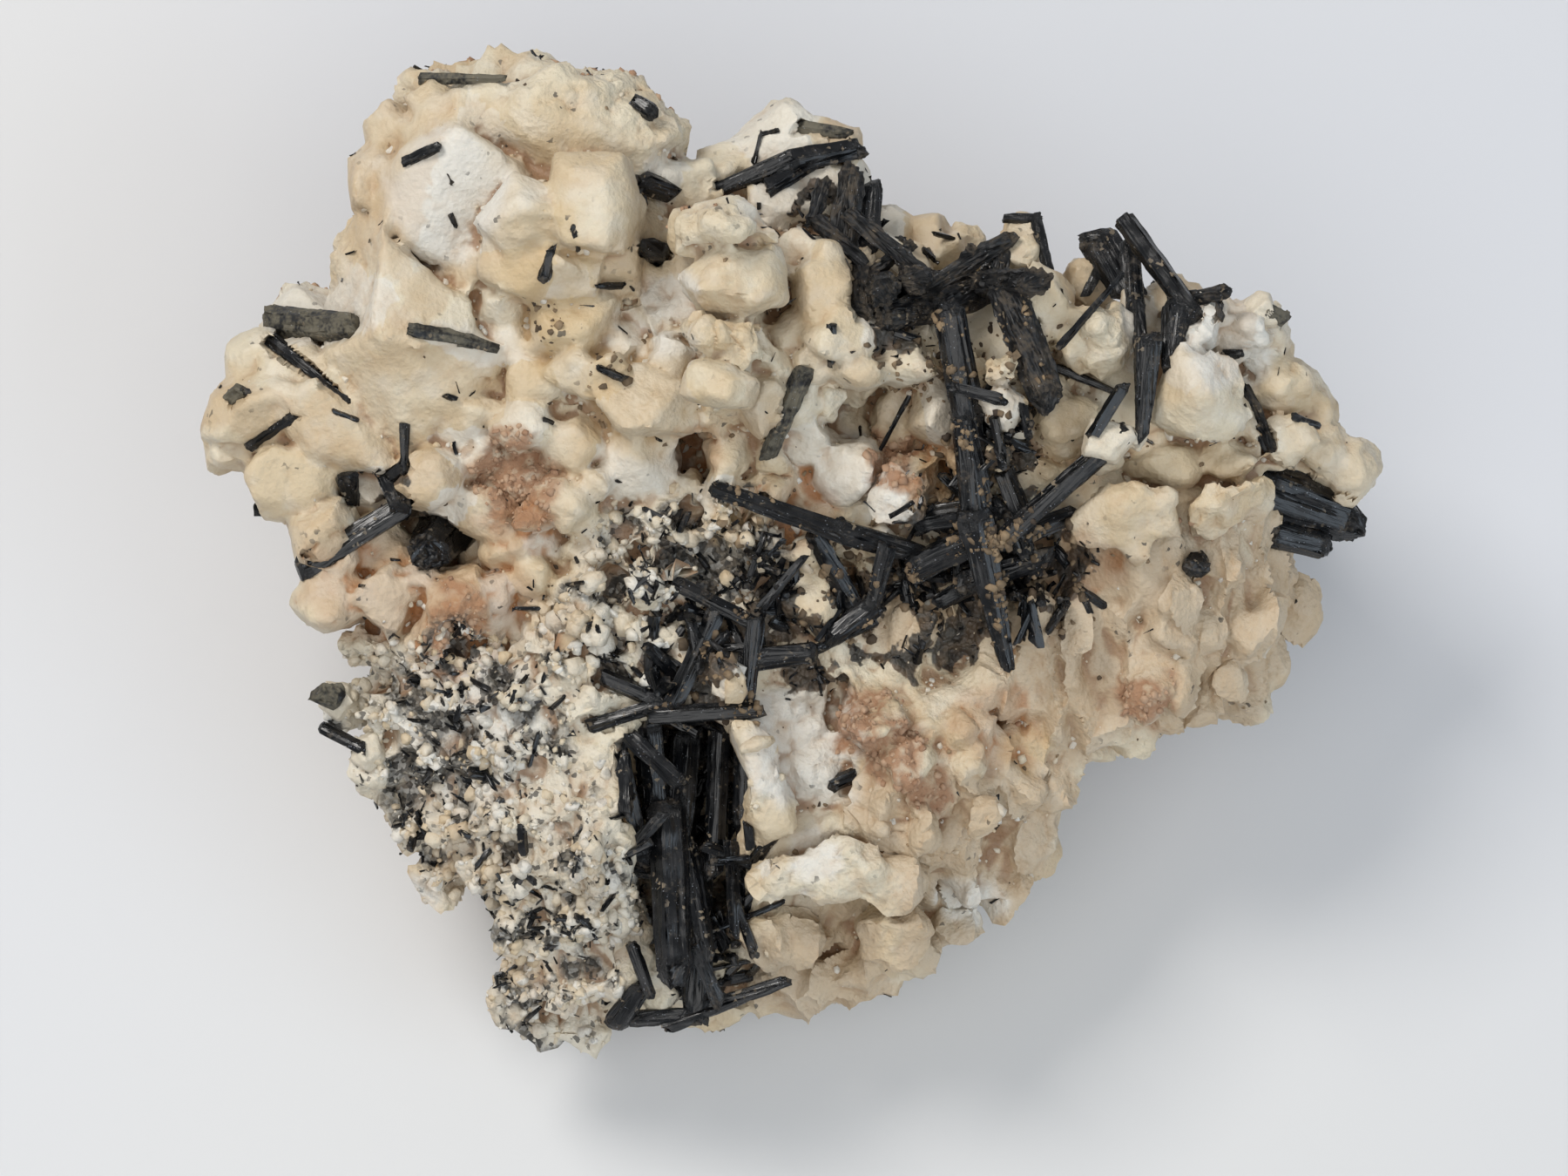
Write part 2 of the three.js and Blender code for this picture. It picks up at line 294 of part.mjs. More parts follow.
// Schorl prisms: start and end (right, up, out), width, thickness as a share of the width, tip.
// The third number of an end is its height over the feldspar straight behind it, or, where the
// list says free, its own place out. The tip is the far end's width as a share of the near end's.
const LYING = {
  left_bar: [[[-59.4, 30.8, 4.2], [-48.4, 29.6, 0.8], 3.8, 0.8, 0.9]],
  left_diagonal: [[[-58.6, 28.2, 1.6], [-49.6, 21.4, 0.6], 2.6, 0.6, 0.4]],
  left_nub: [[[-63, 21.4, -0.6], [-61.4, 22.6, 1], 2.6, 0.9, 0.8]],
  left_small_bar: [[[-61, 16, 0.6], [-55.4, 19.6, 0.6], 1.5, 0.8, 0.9]],
  block_flakes: [
    [[-42, 29, 0.4], [-36.2, 28, 0.5], 1.8, 0.6, 0.8],
    [[-36.4, 28, 0.4], [-32.4, 27, 0.6], 1.9, 0.7, 0.7],
  ],
  wedge_tip: [
    [[-43, 18.4, 0.2], [-43, 13.2, 1], 1.1, 0.7, 0.8], [[-42.8, 14, 1], [-45.4, 12, 2], 2, 0.7, 0.9],
    [[-45, 12.6, 2], [-43.4, 9, 4], 2.6, 0.7, 0.9],
  ],
  dark_nub: [[[-49.8, 13, 0.6], [-49, 9.4, 0.8], 3, 0.6, 0.7]],
  long_left: [[[-55.3, 1.8, 1.2], [-42.6, 9.6, 1.6], 3.2, 0.7, 0.9]],
  edge_nub: [[[-50.6, -12.6, 0], [-53.8, -12, 2.4], 3, 0.8, 0.8]],
  edge_bar: [[[-52.9, -16, 3], [-47.8, -18.6, 0.8], 1.8, 0.8, 1]],
  crest_bar: [[[-41.4, 58, 3], [-31.6, 57.6, 1], 1.9, 0.8, 0.8]],
  crest_nub: [[[-17, 55.2, 0.4], [-14.6, 53.6, 2.2], 2.3, 0.8, 1]],
  gap_nub: [[[-16.4, 46.2, 1.4], [-12.4, 44.8, 0.8], 2.8, 0.8, 0.9]],
  top_branch: [
    [[-7.4, 45.6, 0.8], [0.8, 48.8, 1.4], 1.9, 0.9, 1.4],
    [[0.2, 48.6, 1.6], [8.8, 50.4, 2], 3, 0.8, 0.8],
    [[-1.8, 45.6, 1], [4.6, 49.6, 1.4], 2.4, 0.8, 1],
  ],
  top_flake: [[[1.6, 52.8, 0.4], [7.6, 52, 1.2], 2.3, 0.6, 0.7]],
  crusty_bar: [
    [[10.8, 30.4, 2.2], [18.8, 32.2, 6.6], 3.4, 0.9, 1.1],
    [[17.2, 31.6, 6.6], [23.4, 34.6, 5.6], 3.6, 0.9, 1],
    [[21.8, 34.4, 5.8], [28.4, 34.2, 5.6], 3.6, 0.9, 0.9],
  ],
  shoulder_crust: [
    [[44.2, 32.4, 1.6], [50, 33.4, 1.6], 1.9, 0.8, 0.9],
    [[49, 33.8, 1.2], [49.2, 30.4, 1], 0.9, 0.8, 0.8],
  ],
  shoulder_nub: [[[54.8, 31.6, 0.6], [57.2, 30.4, 2], 2, 0.8, 1]],
  middle_right_bar: [[[30.8, 25, 0.8], [38, 22, 1.8], 1.4, 0.8, 0.7]],
  brown_blade: [[[52.6, 23.2, 0.6], [55.4, 15.4, 0.8], 1.5, 0.7, 1.2]],
  grey_bar: [[[2.4, 24.8, 0.8], [-2, 14.6, 1.6], 3, 0.6, 0.8]],
  long_diagonal: [
    [[-8, 11.2, 1.4], [6.6, 6.2, 2.6], 1.8, 0.8, 1.3], [[6, 6.6, 2.4], [16.8, 3.4, 4], 2.7, 0.8, 0.8],
    [[3.4, 6, 1.4], [8.4, -3, 1.4], 2.4, 0.8, 1], [[11.6, 4.8, 2], [9.8, -3, 3], 2.5, 0.8, 0.8],
    [[10.8, -1.6, 3], [5, -5.8, 1.6], 3, 0.8, 0.8],
  ],
  ridge_bar: [[[3.2, -7.2, 1.2], [10.4, -4, 2], 1.2, 0.8, 0.6]],
  horizontal_bar: [[[-5, -8.4, 1.8], [3.6, -7.4, 1.6], 2.7, 0.8, 0.9]],
  stub: [[[17.4, 8.2, 3], [21, 8, 4.4], 3.4, 0.9, 0.9]],
  glossy_nub: [[[46.5, 1.8, 0], [46.9, 3.6, 1.6], 3.6, 0.9, 0.8]],
  twin_needles: [
    [[33.4, 0, 0.4], [36.6, -2, 0.6], 1, 0.8, 0.9], [[34, -1, 0.3], [34.8, -2.8, 0.4], 0.8, 0.8, 0.9],
  ],
};

// Prisms whose ends stand clear of the feldspar, or reach deep into it: all places are their own.
const FREE = {
  under_left: [[[-60.6, 9.2, -3], [-52, 9.4, 1], 2.4, 0.7, 1]],
  stubby_prism: [[[-38.6, 7.4, -5], [-40.6, 3.6, 8], 6.6, 1, 0.72]],
  gap_plate: [[[-14.4, 36.4, -1], [-15, 38.6, 12.5], 4.6, 0.7, 0.8]],
  upper_spray: [
    [[6.2, 36.6, 6], [8, 47.8, 5.2], 3.7, 0.8, 0.7], [[9.4, 38, 5], [10.1, 46.4, 3.4], 3, 0.6, 0.9],
    [[7.2, 42.6, 7.6], [16.6, 35, 9], 2.1, 0.8, 0.8], [[3.4, 42, 7], [8.8, 37, 8.4], 2.2, 0.8, 0.9],
    [[4.6, 46.4, 5.2], [3.2, 41.4, 7], 1.9, 0.8, 0.9],
    [[10.2, 36, 8.6], [14.6, 39, 7.6], 1.6, 0.8, 0.9],
  ],
  stub_cluster: [
    [[9, 36.2, 8], [8.8, 31, 13.4], 2.9, 0.8, 0.9], [[11, 34, 8], [11.2, 33.6, 16.8], 4.3, 0.9, 0.9],
    [[14.6, 34.8, 8], [15, 34.6, 16.6], 4, 0.9, 0.9],
  ],
  stem: [
    [[18.4, 32, 15.4], [20.8, 18.6, 15], 3.4, 0.8, 1.1], [[20.4, 20, 15], [21.8, 8, 13.4], 3.9, 0.8, 1],
    [[21.4, 9, 14.2], [25.4, -8.8, 9.4], 4.6, 0.8, 0.46],
    [[38.6, 17.8, 15.4], [23.6, 4.6, 13], 2.8, 0.8, 0.9],
    [[34.6, 17, 16.6], [38.2, 22.8, 17], 2.1, 0.8, 0.9],
    [[20, 0.4, 8.6], [30, 3.6, 10], 3.1, 0.8, 0.8],
    [[26.2, 5.6, 10.4], [33.4, 8.6, 9.4], 2.7, 0.8, 0.9],
    [[15, 7.8, 8.4], [25, 9.2, 12], 3.2, 0.8, 0.9], [[24.8, 13, 12.6], [27.6, 6, 11.4], 2.5, 0.8, 0.9],
    [[14.4, 2.2, 8], [22.6, 6, 11.6], 3.4, 0.8, 0.9],
    [[17.6, -1.6, 7.4], [24, 1.6, 9.6], 2.4, 0.8, 0.9],
    [[28.6, 1.4, 9], [25.4, 8.4, 12], 2.2, 0.8, 0.9],
  ],
  upper_right_branch: [
    [[15.4, 33.4, 9.4], [26, 40, 7.6], 2.3, 0.8, 0.9],
    [[19.6, 35, 7.6], [21.6, 38.4, 8.4], 1.8, 0.8, 1],
  ],
  lump_brace: [
    [[25.2, 42.2, 5], [29.2, 42, 5.6], 1.2, 0.9, 1], [[28.7, 42.4, 5.6], [30.2, 35, 8.2], 1.5, 0.8, 1],
  ],
  brace_chip: [[[24.8, 38.2, 7.4], [24, 33.6, 9], 2.2, 0.7, 0.8]],
  thick_bar: [
    [[24.8, 34.8, 14.4], [30, 21, 15.4], 4.1, 0.8, 1],
  ],
  thin_grey: [[[30.8, 27, 16.4], [38.2, 35.4, 12.6], 1.3, 0.8, 0.8]],
  blades: [
    [[35.4, 40.6, 2.4], [39.6, 33, 4.6], 4.4, 0.5, 0.9],
    [[36.4, 37.4, 3], [34.4, 33.4, 3.6], 1.8, 0.6, 0.6],
    [[38.6, 41.8, 8.6], [46.4, 30.4, 12.4], 2.5, 0.8, 0.9],
    [[39.4, 39.2, 6], [40, 31.2, 10], 2.6, 0.6, 0.8],
    [[40, 32.4, 9.6], [40.4, 26.6, 12.6], 1.8, 0.8, 1],
    [[44.6, 32.2, 11.4], [43.2, 25, 14], 3.2, 0.8, 0.5],
    [[41, 28.6, 14.6], [40.2, 16.6, 15], 3.3, 0.8, 0.5],
  ],
  dark_slab: [
    [[53.6, 12, 2], [65.8, 7.6, -3], 7, 0.7, 0.74], [[55.4, 6.6, 1], [62.7, 4.9, -2], 3.7, 0.8, 0.95],
  ],
  main_cluster: [
    [[-13.6, -24.4, 3.6], [-12.5, -44.2, 7.4], 4.7, 0.8, 0.92],
    [[-7.2, -14.4, 2], [-8, -33, 3], 2.8, 0.8, 0.9],
    [[-17.6, -16.6, 8], [-11.4, -22.4, 9.6], 2.4, 0.8, 0.8],
    [[-20.2, -15.6, 5], [-16.4, -31.4, 4.4], 3.8, 0.8, 0.8],
    [[-18.4, -30.8, 6.6], [-13.4, -25.6, 7.4], 1.9, 0.8, 0.9],
    [[-6, -28.8, 4], [-5.6, -39.8, 5.6], 2.3, 0.8, 0.7],
    [[-11.6, -28.8, 3], [-8.8, -42.4, 5.4], 3, 0.8, 0.8],
    [[-10.2, -40.8, 6], [-7.4, -47.6, 4.6], 1.9, 0.8, 0.9],
    [[-13.8, -50, 0.4], [0.3, -44.8, 3], 2.5, 0.8, 0.7],
    [[-19.6, -50.2, -0.6], [-16.2, -45.4, 4], 2.7, 0.8, 0.8],
    [[-17.6, -49.4, 0.4], [-9, -49, 1], 2, 0.8, 1],
    [[-11, -16.4, 1], [-12.4, -30.6, 2.6], 3.6, 0.8, 0.9],
    [[-4.4, -16, 3], [-4.8, -27.6, 2], 2.8, 0.8, 0.8],
    [[-15.4, -15, 5], [-14.4, -28.4, 1.4], 3, 0.8, 0.9],
    [[-10, -30, 0], [-10, -49, 0.6], 4, 0.8, 0.9],
    [[-17.4, -40.6, 4.6], [-15.2, -46.4, 5], 1.6, 0.8, 0.9],
    [[-22, -15.8, 7], [-13.4, -13, 8.4], 1.8, 0.8, 0.9],
    [[-15.4, -14.6, 8.4], [-2.6, -13.8, 10], 2.1, 0.8, 0.9],
    [[-3.2, -3.6, 9.6], [-4.6, -14.6, 8.6], 2.2, 0.8, 0.9],
    [[-7.6, -2.6, 8.6], [-12.8, -13.6, 8.6], 2.2, 0.8, 0.9],
    [[-12.4, 0.6, 9], [-2.8, -4.4, 9], 1.8, 0.8, 0.9],
    [[-20.6, -10.2, 8], [-12, -13.8, 7.6], 2, 0.8, 0.9],
    [[-2.6, -2.2, 9.4], [2.4, 3.6, 9.8], 1.6, 0.8, 0.8],
  ],
};

// A repeatable source of numbers from 0 to 1, so that the rock comes out the same each time.
function seededRandom(seed) {
  let state = seed;
  return () => {
    state = (state * 1664525 + 1013904223) % 4294967296;
    return state / 4294967296;
  };
}
const random = seededRandom(31);
const jitter = (amount) => (random() * 2 - 1) * amount;

// Turns a closed geometry into a solid that can be joined and cut.
function solidFrom(geometry) {
  const bare = geometry.clone();
  bare.deleteAttribute("normal");
  bare.deleteAttribute("uv");
  const merged = mergeVertices(bare, 1e-4);
  return new wasm.Manifold(
    new wasm.Mesh({
      numProp: 3,
      vertProperties: merged.attributes.position.array,
      triVerts: new Uint32Array(merged.index.array),
    }),
  );
}

// Turns a solid back into a geometry for a mesh.
function geometryFrom(solid) {
  const mesh = solid.getMesh();
  const geometry = new THREE.BufferGeometry();
  geometry.setAttribute("position", new THREE.BufferAttribute(mesh.vertProperties, 3));
  geometry.setIndex(new THREE.BufferAttribute(mesh.triVerts, 1));
  geometry.computeVertexNormals();
  return geometry;
}

const joined = (solids) => wasm.Manifold.union(solids);

function largestPiece(solid) {
  return solid.decompose().sort((a, b) => b.volume() - a.volume())[0];
}

// Drops facets that change the shape by less than the tolerance.
function simplified(solid, tolerance) {
  let result = solid;
  for (let round = 0; round < SIMPLIFYING_ROUNDS; round += 1) {
    result = result.asOriginal().simplify(tolerance);
  }
  return result;
}

// Moves every vertex of a geometry with a function that changes a vector in place.
function shaped(geometry, change) {
  const bare = geometry.clone();
  bare.deleteAttribute("normal");
  bare.deleteAttribute("uv");
  const merged = mergeVertices(bare, 1e-4);
  const positions = merged.attributes.position;
  const point = new THREE.Vector3();
  for (let i = 0; i < positions.count; i += 1) {
    point.fromBufferAttribute(positions, i);
    change(point);
    positions.setXYZ(i, point.x, point.y, point.z);
  }
  return merged;
}

const lumpDepth = (halfWidth, halfHeight) => (halfWidth + halfHeight) * LUMP_DEPTH;

// A rounded lump whose lower half reaches down and inwards into the rock like a root.
function lump([right, up, top, halfWidth, halfHeight, turnDegrees]) {
  const halfDepth = lumpDepth(halfWidth, halfHeight);
  const turn = THREE.MathUtils.degToRad(turnDegrees + jitter(LUMP_TURN));
  const detail = halfWidth > BROAD_LUMP ? 1 : 0;
  const ball = new THREE.IcosahedronGeometry(1, detail);
  const geometry = shaped(ball, (p) => {
    const swell = 1 + jitter(LUMP_SWELL);
    const below = Math.max(0, -p.z);
    const width = swell * (1 - ROOT_TAPER * below);
    p.set(p.x * halfWidth * width, p.y * halfHeight * width, p.z * (below > 0 ? ROOT : halfDepth));
    p.applyAxisAngle(new THREE.Vector3(0, 0, 1), turn);
    p.x += right - right * ROOT_LEAN * below;
    p.y += up - up * ROOT_LEAN * below;
    p.z += top - halfDepth;
  });
  return solidFrom(geometry);
}

// How far out the crown of the core lies at a place: a little below the lumps around it.
function crownAt(right, up) {
  let total = 0;
  let weights = 0;
  for (const [x, y, top, halfWidth, halfHeight] of Object.values(LUMPS).flat()) {
    const distance = Math.hypot(right - x, up - y);
    const weight = (halfWidth * halfHeight) / (distance ** 2 + CROWN_REACH) ** 2;
    total += weight * (top - BURIED * lumpDepth(halfWidth, halfHeight));
    weights += weight;
  }
  return total / weights;
}

// A cutter for a hollow: a ball at the floor whose upper half opens out towards the viewer.
function hollowCutter([right, up, floor, halfWidth, halfHeight, turnDegrees]) {
  const ball = new THREE.IcosahedronGeometry(1, 1);
  const turn = THREE.MathUtils.degToRad(turnDegrees);
  const geometry = shaped(ball, (p) => {
    const flare = 1 + Math.max(0, p.z) * HOLLOW_FLARE + jitter(HOLLOW_SWELL);
    const depth = p.z > 0 ? HOLLOW_REACH : halfWidth * HOLLOW_ROUNDING;
    p.set(p.x * halfWidth * flare, p.y * halfHeight * flare, p.z * depth);
    p.applyAxisAngle(new THREE.Vector3(0, 0, 1), turn);
    p.add(new THREE.Vector3(right, up, floor + halfWidth * HOLLOW_ROUNDING));
  });
  return solidFrom(geometry);
}

const block = (corners) => solidFrom(new ConvexGeometry(corners.map((c) => new THREE.Vector3(...c))));

// Seeded knobs over the flank: how far the rock bulges at a place, from its nearest knobs.
function knobbly(knobs) {
  return (x, y, z) => {
    const reach = knobs.map((k) => 1 - Math.hypot(x - k.x, y - k.y, z - k.z) / k.radius);
    return Math.sqrt(Math.max(0, ...reach)) * KNOB_HEIGHT;
  };
}

// The core: rings of the outline, closed at both ends, with knobs around the flank.
function core() {
  const [middleX, middleY] = CORE_MIDDLE;
  const outline = new THREE.CatmullRomCurve3(
    CORE_OUTLINE.map(([x, y]) => new THREE.Vector3(x - middleX, y - middleY, 0)),
    true,
  );
  const [base] = FLANK_RINGS;
  const knobs = Array.from({ length: KNOBS }, (_, i) => {
    const at = outline.getPointAt((i * GOLDEN_TURN) % 1);
    const [out, share] = FLANK_RINGS[1 + (i % (FLANK_RINGS.length - 2))];
    const radius = KNOB_RADIUS + jitter(KNOB_RADIUS_SPREAD);
    return { x: at.x * share, y: at.y * share, z: out + jitter(KNOB_SPREAD), radius };
  });
  const bulge = knobbly(knobs);
  const vertices = [];
  const sides = Array.from({ length: CORE_SIDES }, (_, i) => outline.getPointAt(i / CORE_SIDES));
  for (const [out, share] of FLANK_RINGS) {
    for (const at of sides) {
      const swell = bulge(at.x * share, at.y * share, out) - KNOB_HEIGHT / 2;
      const pull = share + (out < FLANK_TOP ? swell : 0) / at.length();
      vertices.push(middleX + at.x * pull, middleY + at.y * pull, out + jitter(CORE_ROUGHNESS));
    }
  }
  for (const share of CROWN_SHARES) {
    for (const at of sides) {
      const right = middleX + at.x * share;
      const up = middleY + at.y * share;
      vertices.push(right, up, crownAt(right, up) + jitter(CORE_ROUGHNESS));
    }
  }
  const bottom = vertices.length / 3;
  vertices.push(middleX, middleY, base[0]);
  const crown = bottom + 1;
  vertices.push(middleX, middleY, crownAt(middleX, middleY));
  const faces = [];
  const last = bottom - CORE_SIDES;
  for (let ring = 0; ring < last; ring += CORE_SIDES) {
    for (let i = 0; i < CORE_SIDES; i += 1) {
      const a = ring + i;
      const b = ring + ((i + 1) % CORE_SIDES);
      faces.push(a, a + CORE_SIDES, b, b, a + CORE_SIDES, b + CORE_SIDES);
    }
  }
  for (let i = 0; i < CORE_SIDES; i += 1) {
    const next = (i + 1) % CORE_SIDES;
    faces.push(bottom, i, next);
    faces.push(crown, last + next, last + i);
  }
  const geometry = new THREE.BufferGeometry();
  geometry.setAttribute("position", new THREE.Float32BufferAttribute(vertices, 3));
  geometry.setIndex(faces);
  return solidFrom(geometry);
}

// One prism: a ribbed three-sided section drawn out from one end to the other, with a slanting
// broken tip. Extra swells it all round, for cutting its socket.
function prism([start, end, width, flatness, tip], extra = 0) {
  const from = new THREE.Vector3(...start);
  const to = new THREE.Vector3(...end);
  const wander = seededRandom(Math.round(Math.abs(start[0] * 971 + start[1] * 577 + end[0] * 89)));
  const along = to.clone().sub(from).normalize();
  const viewer = Math.abs(along.z) > 0.85 ? new THREE.Vector3(0, 1, 0) : new THREE.Vector3(0, 0, 1);
  const side = new THREE.Vector3().crossVectors(viewer, along).normalize();
  const face = new THREE.Vector3().crossVectors(along, side).normalize();
  const sides = width > BROAD_PRISM ? 6 : 5;
  const half = width / 2;
  const length = from.distanceTo(to);
  const bevel = Math.min(BEVEL * width, LONGEST_BEVEL * length);
  const turn = wander() * Math.PI;
  const slant = (0.2 + 0.5 * wander()) * half;
  const reach = Array.from({ length: sides }, () => 0.88 + 0.24 * wander());
  const stations = [
    { at: -extra, size: FOOT, slant: 0.5 * slant },
    { at: length - bevel, size: tip, slant: 0 },
    { at: length + extra, size: tip * POINT, slant },
  ];
  if (width > BROAD_PRISM) {
    stations[0].size = TAPERED_FOOT;
    stations.splice(1, 0, { at: bevel, size: 1, slant: 0 });
  }
  const vertices = [];
  for (const station of stations) {
    for (let i = 0; i < sides; i += 1) {
      const angle = (i / sides) * Math.PI * 2 + turn;
      const distance = half * station.size * reach[i] + extra;
      const point = from.clone();
      point.addScaledVector(along, station.at + station.slant * Math.cos(angle - turn * 2));
      point.addScaledVector(side, Math.cos(angle) * distance);
      point.addScaledVector(face, Math.sin(angle) * distance * flatness);
      vertices.push(point);
    }
  }
  return solidFrom(new ConvexGeometry(vertices));
}

// How far out the feldspar is at a place; beyond its edge, the nearest feldspar inwards counts.
const ray = new THREE.Raycaster();
function surfaceAt(rock, right, up) {
  const [middleX, middleY] = CORE_MIDDLE;
  for (let inwards = 0; inwards < 1; inwards += INWARD_STEP) {
    const x = right + (middleX - right) * inwards;
    const y = up + (middleY - up) * inwards;
    ray.set(new THREE.Vector3(x, y, FAR_OUT), new THREE.Vector3(0, 0, -1));
    const [hit] = ray.intersectObject(rock);
    if (hit) {
      return hit.point.z;
    }
  }
  return 0;
}

// Gives a lying prism's ends their places out, from the feldspar behind them.
function settled(rock, [start, end, width, flatness, tip]) {
  const sink = width * flatness * (0.5 - SEAT);
  const [a, b] = [start, end].map(([right, up, height]) => [
    right,
    up,
    surfaceAt(rock, right, up) + height + sink,
  ]);
  return [a, b, width, flatness, tip];
}

// Prisms that touch, or nearly do, have grown together: each set of them is one crystal group.
function grownTogether(prisms) {
  const groups = [];
  for (const { name, spec } of prisms) {
    let current = { name, specs: [spec], reach: prism(spec, FUSE) };
    for (let i = groups.length - 1; i >= 0; i -= 1) {
      if (groups[i].reach.intersect(current.reach).volume() > LEAST_CONTACT) {
        const [earlier] = groups.splice(i, 1);
        current = {
          name: earlier.name,
          specs: [...earlier.specs, ...current.specs],
          reach: earlier.reach.add(current.reach),
        };
      }
    }
    groups.push(current);
  }
  return groups.map((group) => {
    const swell = group.specs.length > 1 ? FUSE : 0;
    const crystal = joined(group.specs.map((spec) => prism(spec, swell)));
    return {
      name: group.name,
      solid: crystal.asOriginal().simplify(CRYSTAL_CLEAN_UP),
      socket: joined(group.specs.map((spec) => prism(spec, swell + SOCKET_GAP))),
    };
  });
}

const lumps = Object.values(LUMPS).flat().map(lump);
const blocks = Object.values(BLOCKS).map(block);
const bulk = joined([core(), ...lumps, ...blocks]);
const hollowed = bulk.subtract(joined(HOLLOWS.map(hollowCutter)));
const rock = largestPiece(simplified(hollowed, SMOOTHING));
const bare = new THREE.Mesh(geometryFrom(rock), FELDSPAR);

const lying = Object.entries(LYING).flatMap(([name, prisms]) =>
  prisms.map((spec) => ({ name, spec: settled(bare, spec) })),
);
const free = Object.entries(FREE).flatMap(([name, prisms]) =>
  prisms.map((spec) => ({ name, spec })),
);
const crystals = grownTogether([...lying, ...free]);

// Everything that lies below the base is broken away.
const belowBase = new THREE.BoxGeometry(CUTTER, CUTTER, CUTTER);
belowBase.translate(0, 0, -CUTTER / 2 - BASE_DEPTH);
belowBase.rotateX(-LEAN);
const sockets = joined(crystals.map((crystal) => crystal.socket));
const feldspar = largestPiece(
  rock.subtract(solidFrom(belowBase)).subtract(sockets).asOriginal().simplify(CLEAN_UP),
);

const specimen = new THREE.Group();
const leaned = new THREE.Group();
leaned.rotation.x = LEAN;
specimen.add(leaned);

function addNode(name, solid, material) {
  const mesh = new THREE.Mesh(geometryFrom(solid), material);
  mesh.name = name;
  leaned.add(mesh);
}
addNode("feldspar_matrix", feldspar, FELDSPAR);
const used = new Map();
for (const crystal of crystals) {
  const count = (used.get(crystal.name) ?? 0) + 1;
  used.set(crystal.name, count);
  addNode(`schorl_${crystal.name}${count > 1 ? `_${count}` : ""}`, crystal.solid, SCHORL);
}

// The middle of the base is the origin.
specimen.updateMatrixWorld(true);
const box = new THREE.Box3().setFromObject(specimen, true);
leaned.position.set(-(box.min.x + box.max.x) / 2, -(box.min.y + box.max.y) / 2, -box.min.z);

export default specimen;
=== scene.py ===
"""Dresses the tourmaline specimen: black prisms on cream feldspar, with its grains, chips and stains."""

import logging
import math
from collections.abc import Iterator
from dataclasses import dataclass
from enum import Enum

import bmesh
import bpy
import numpy as np
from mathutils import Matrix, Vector
from mathutils.bvhtree import BVHTree


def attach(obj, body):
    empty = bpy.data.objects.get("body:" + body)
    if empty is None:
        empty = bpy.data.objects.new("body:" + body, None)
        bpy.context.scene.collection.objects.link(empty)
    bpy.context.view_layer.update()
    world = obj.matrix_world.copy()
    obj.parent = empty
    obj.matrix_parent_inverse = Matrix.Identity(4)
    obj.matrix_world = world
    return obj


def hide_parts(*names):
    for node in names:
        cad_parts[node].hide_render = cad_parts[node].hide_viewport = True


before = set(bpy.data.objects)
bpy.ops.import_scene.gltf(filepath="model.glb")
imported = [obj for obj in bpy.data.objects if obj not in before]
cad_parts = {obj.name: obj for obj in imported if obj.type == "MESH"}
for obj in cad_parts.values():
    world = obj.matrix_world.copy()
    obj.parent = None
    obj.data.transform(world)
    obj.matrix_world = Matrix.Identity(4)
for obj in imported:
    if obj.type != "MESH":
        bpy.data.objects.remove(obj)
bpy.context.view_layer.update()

LOG = logging.getLogger("tourmaline")
MM = 0.001
TABLE = 1024


class Zone(Enum):
    """Kinds of surface that the feldspar shows in different places."""

    GRANULAR = "granular"
    PINK = "pink"
    GOLD = "gold"
    WHITE = "white"
    RUST = "rust"
    CRISP = "crisp"
    GRAPES = "grapes"
    CHIPS = "chips"
    SOOT = "soot"
    FLUTES = "flutes"
    RIM = "rim"


Discs = tuple[tuple[float, float, float], ...]

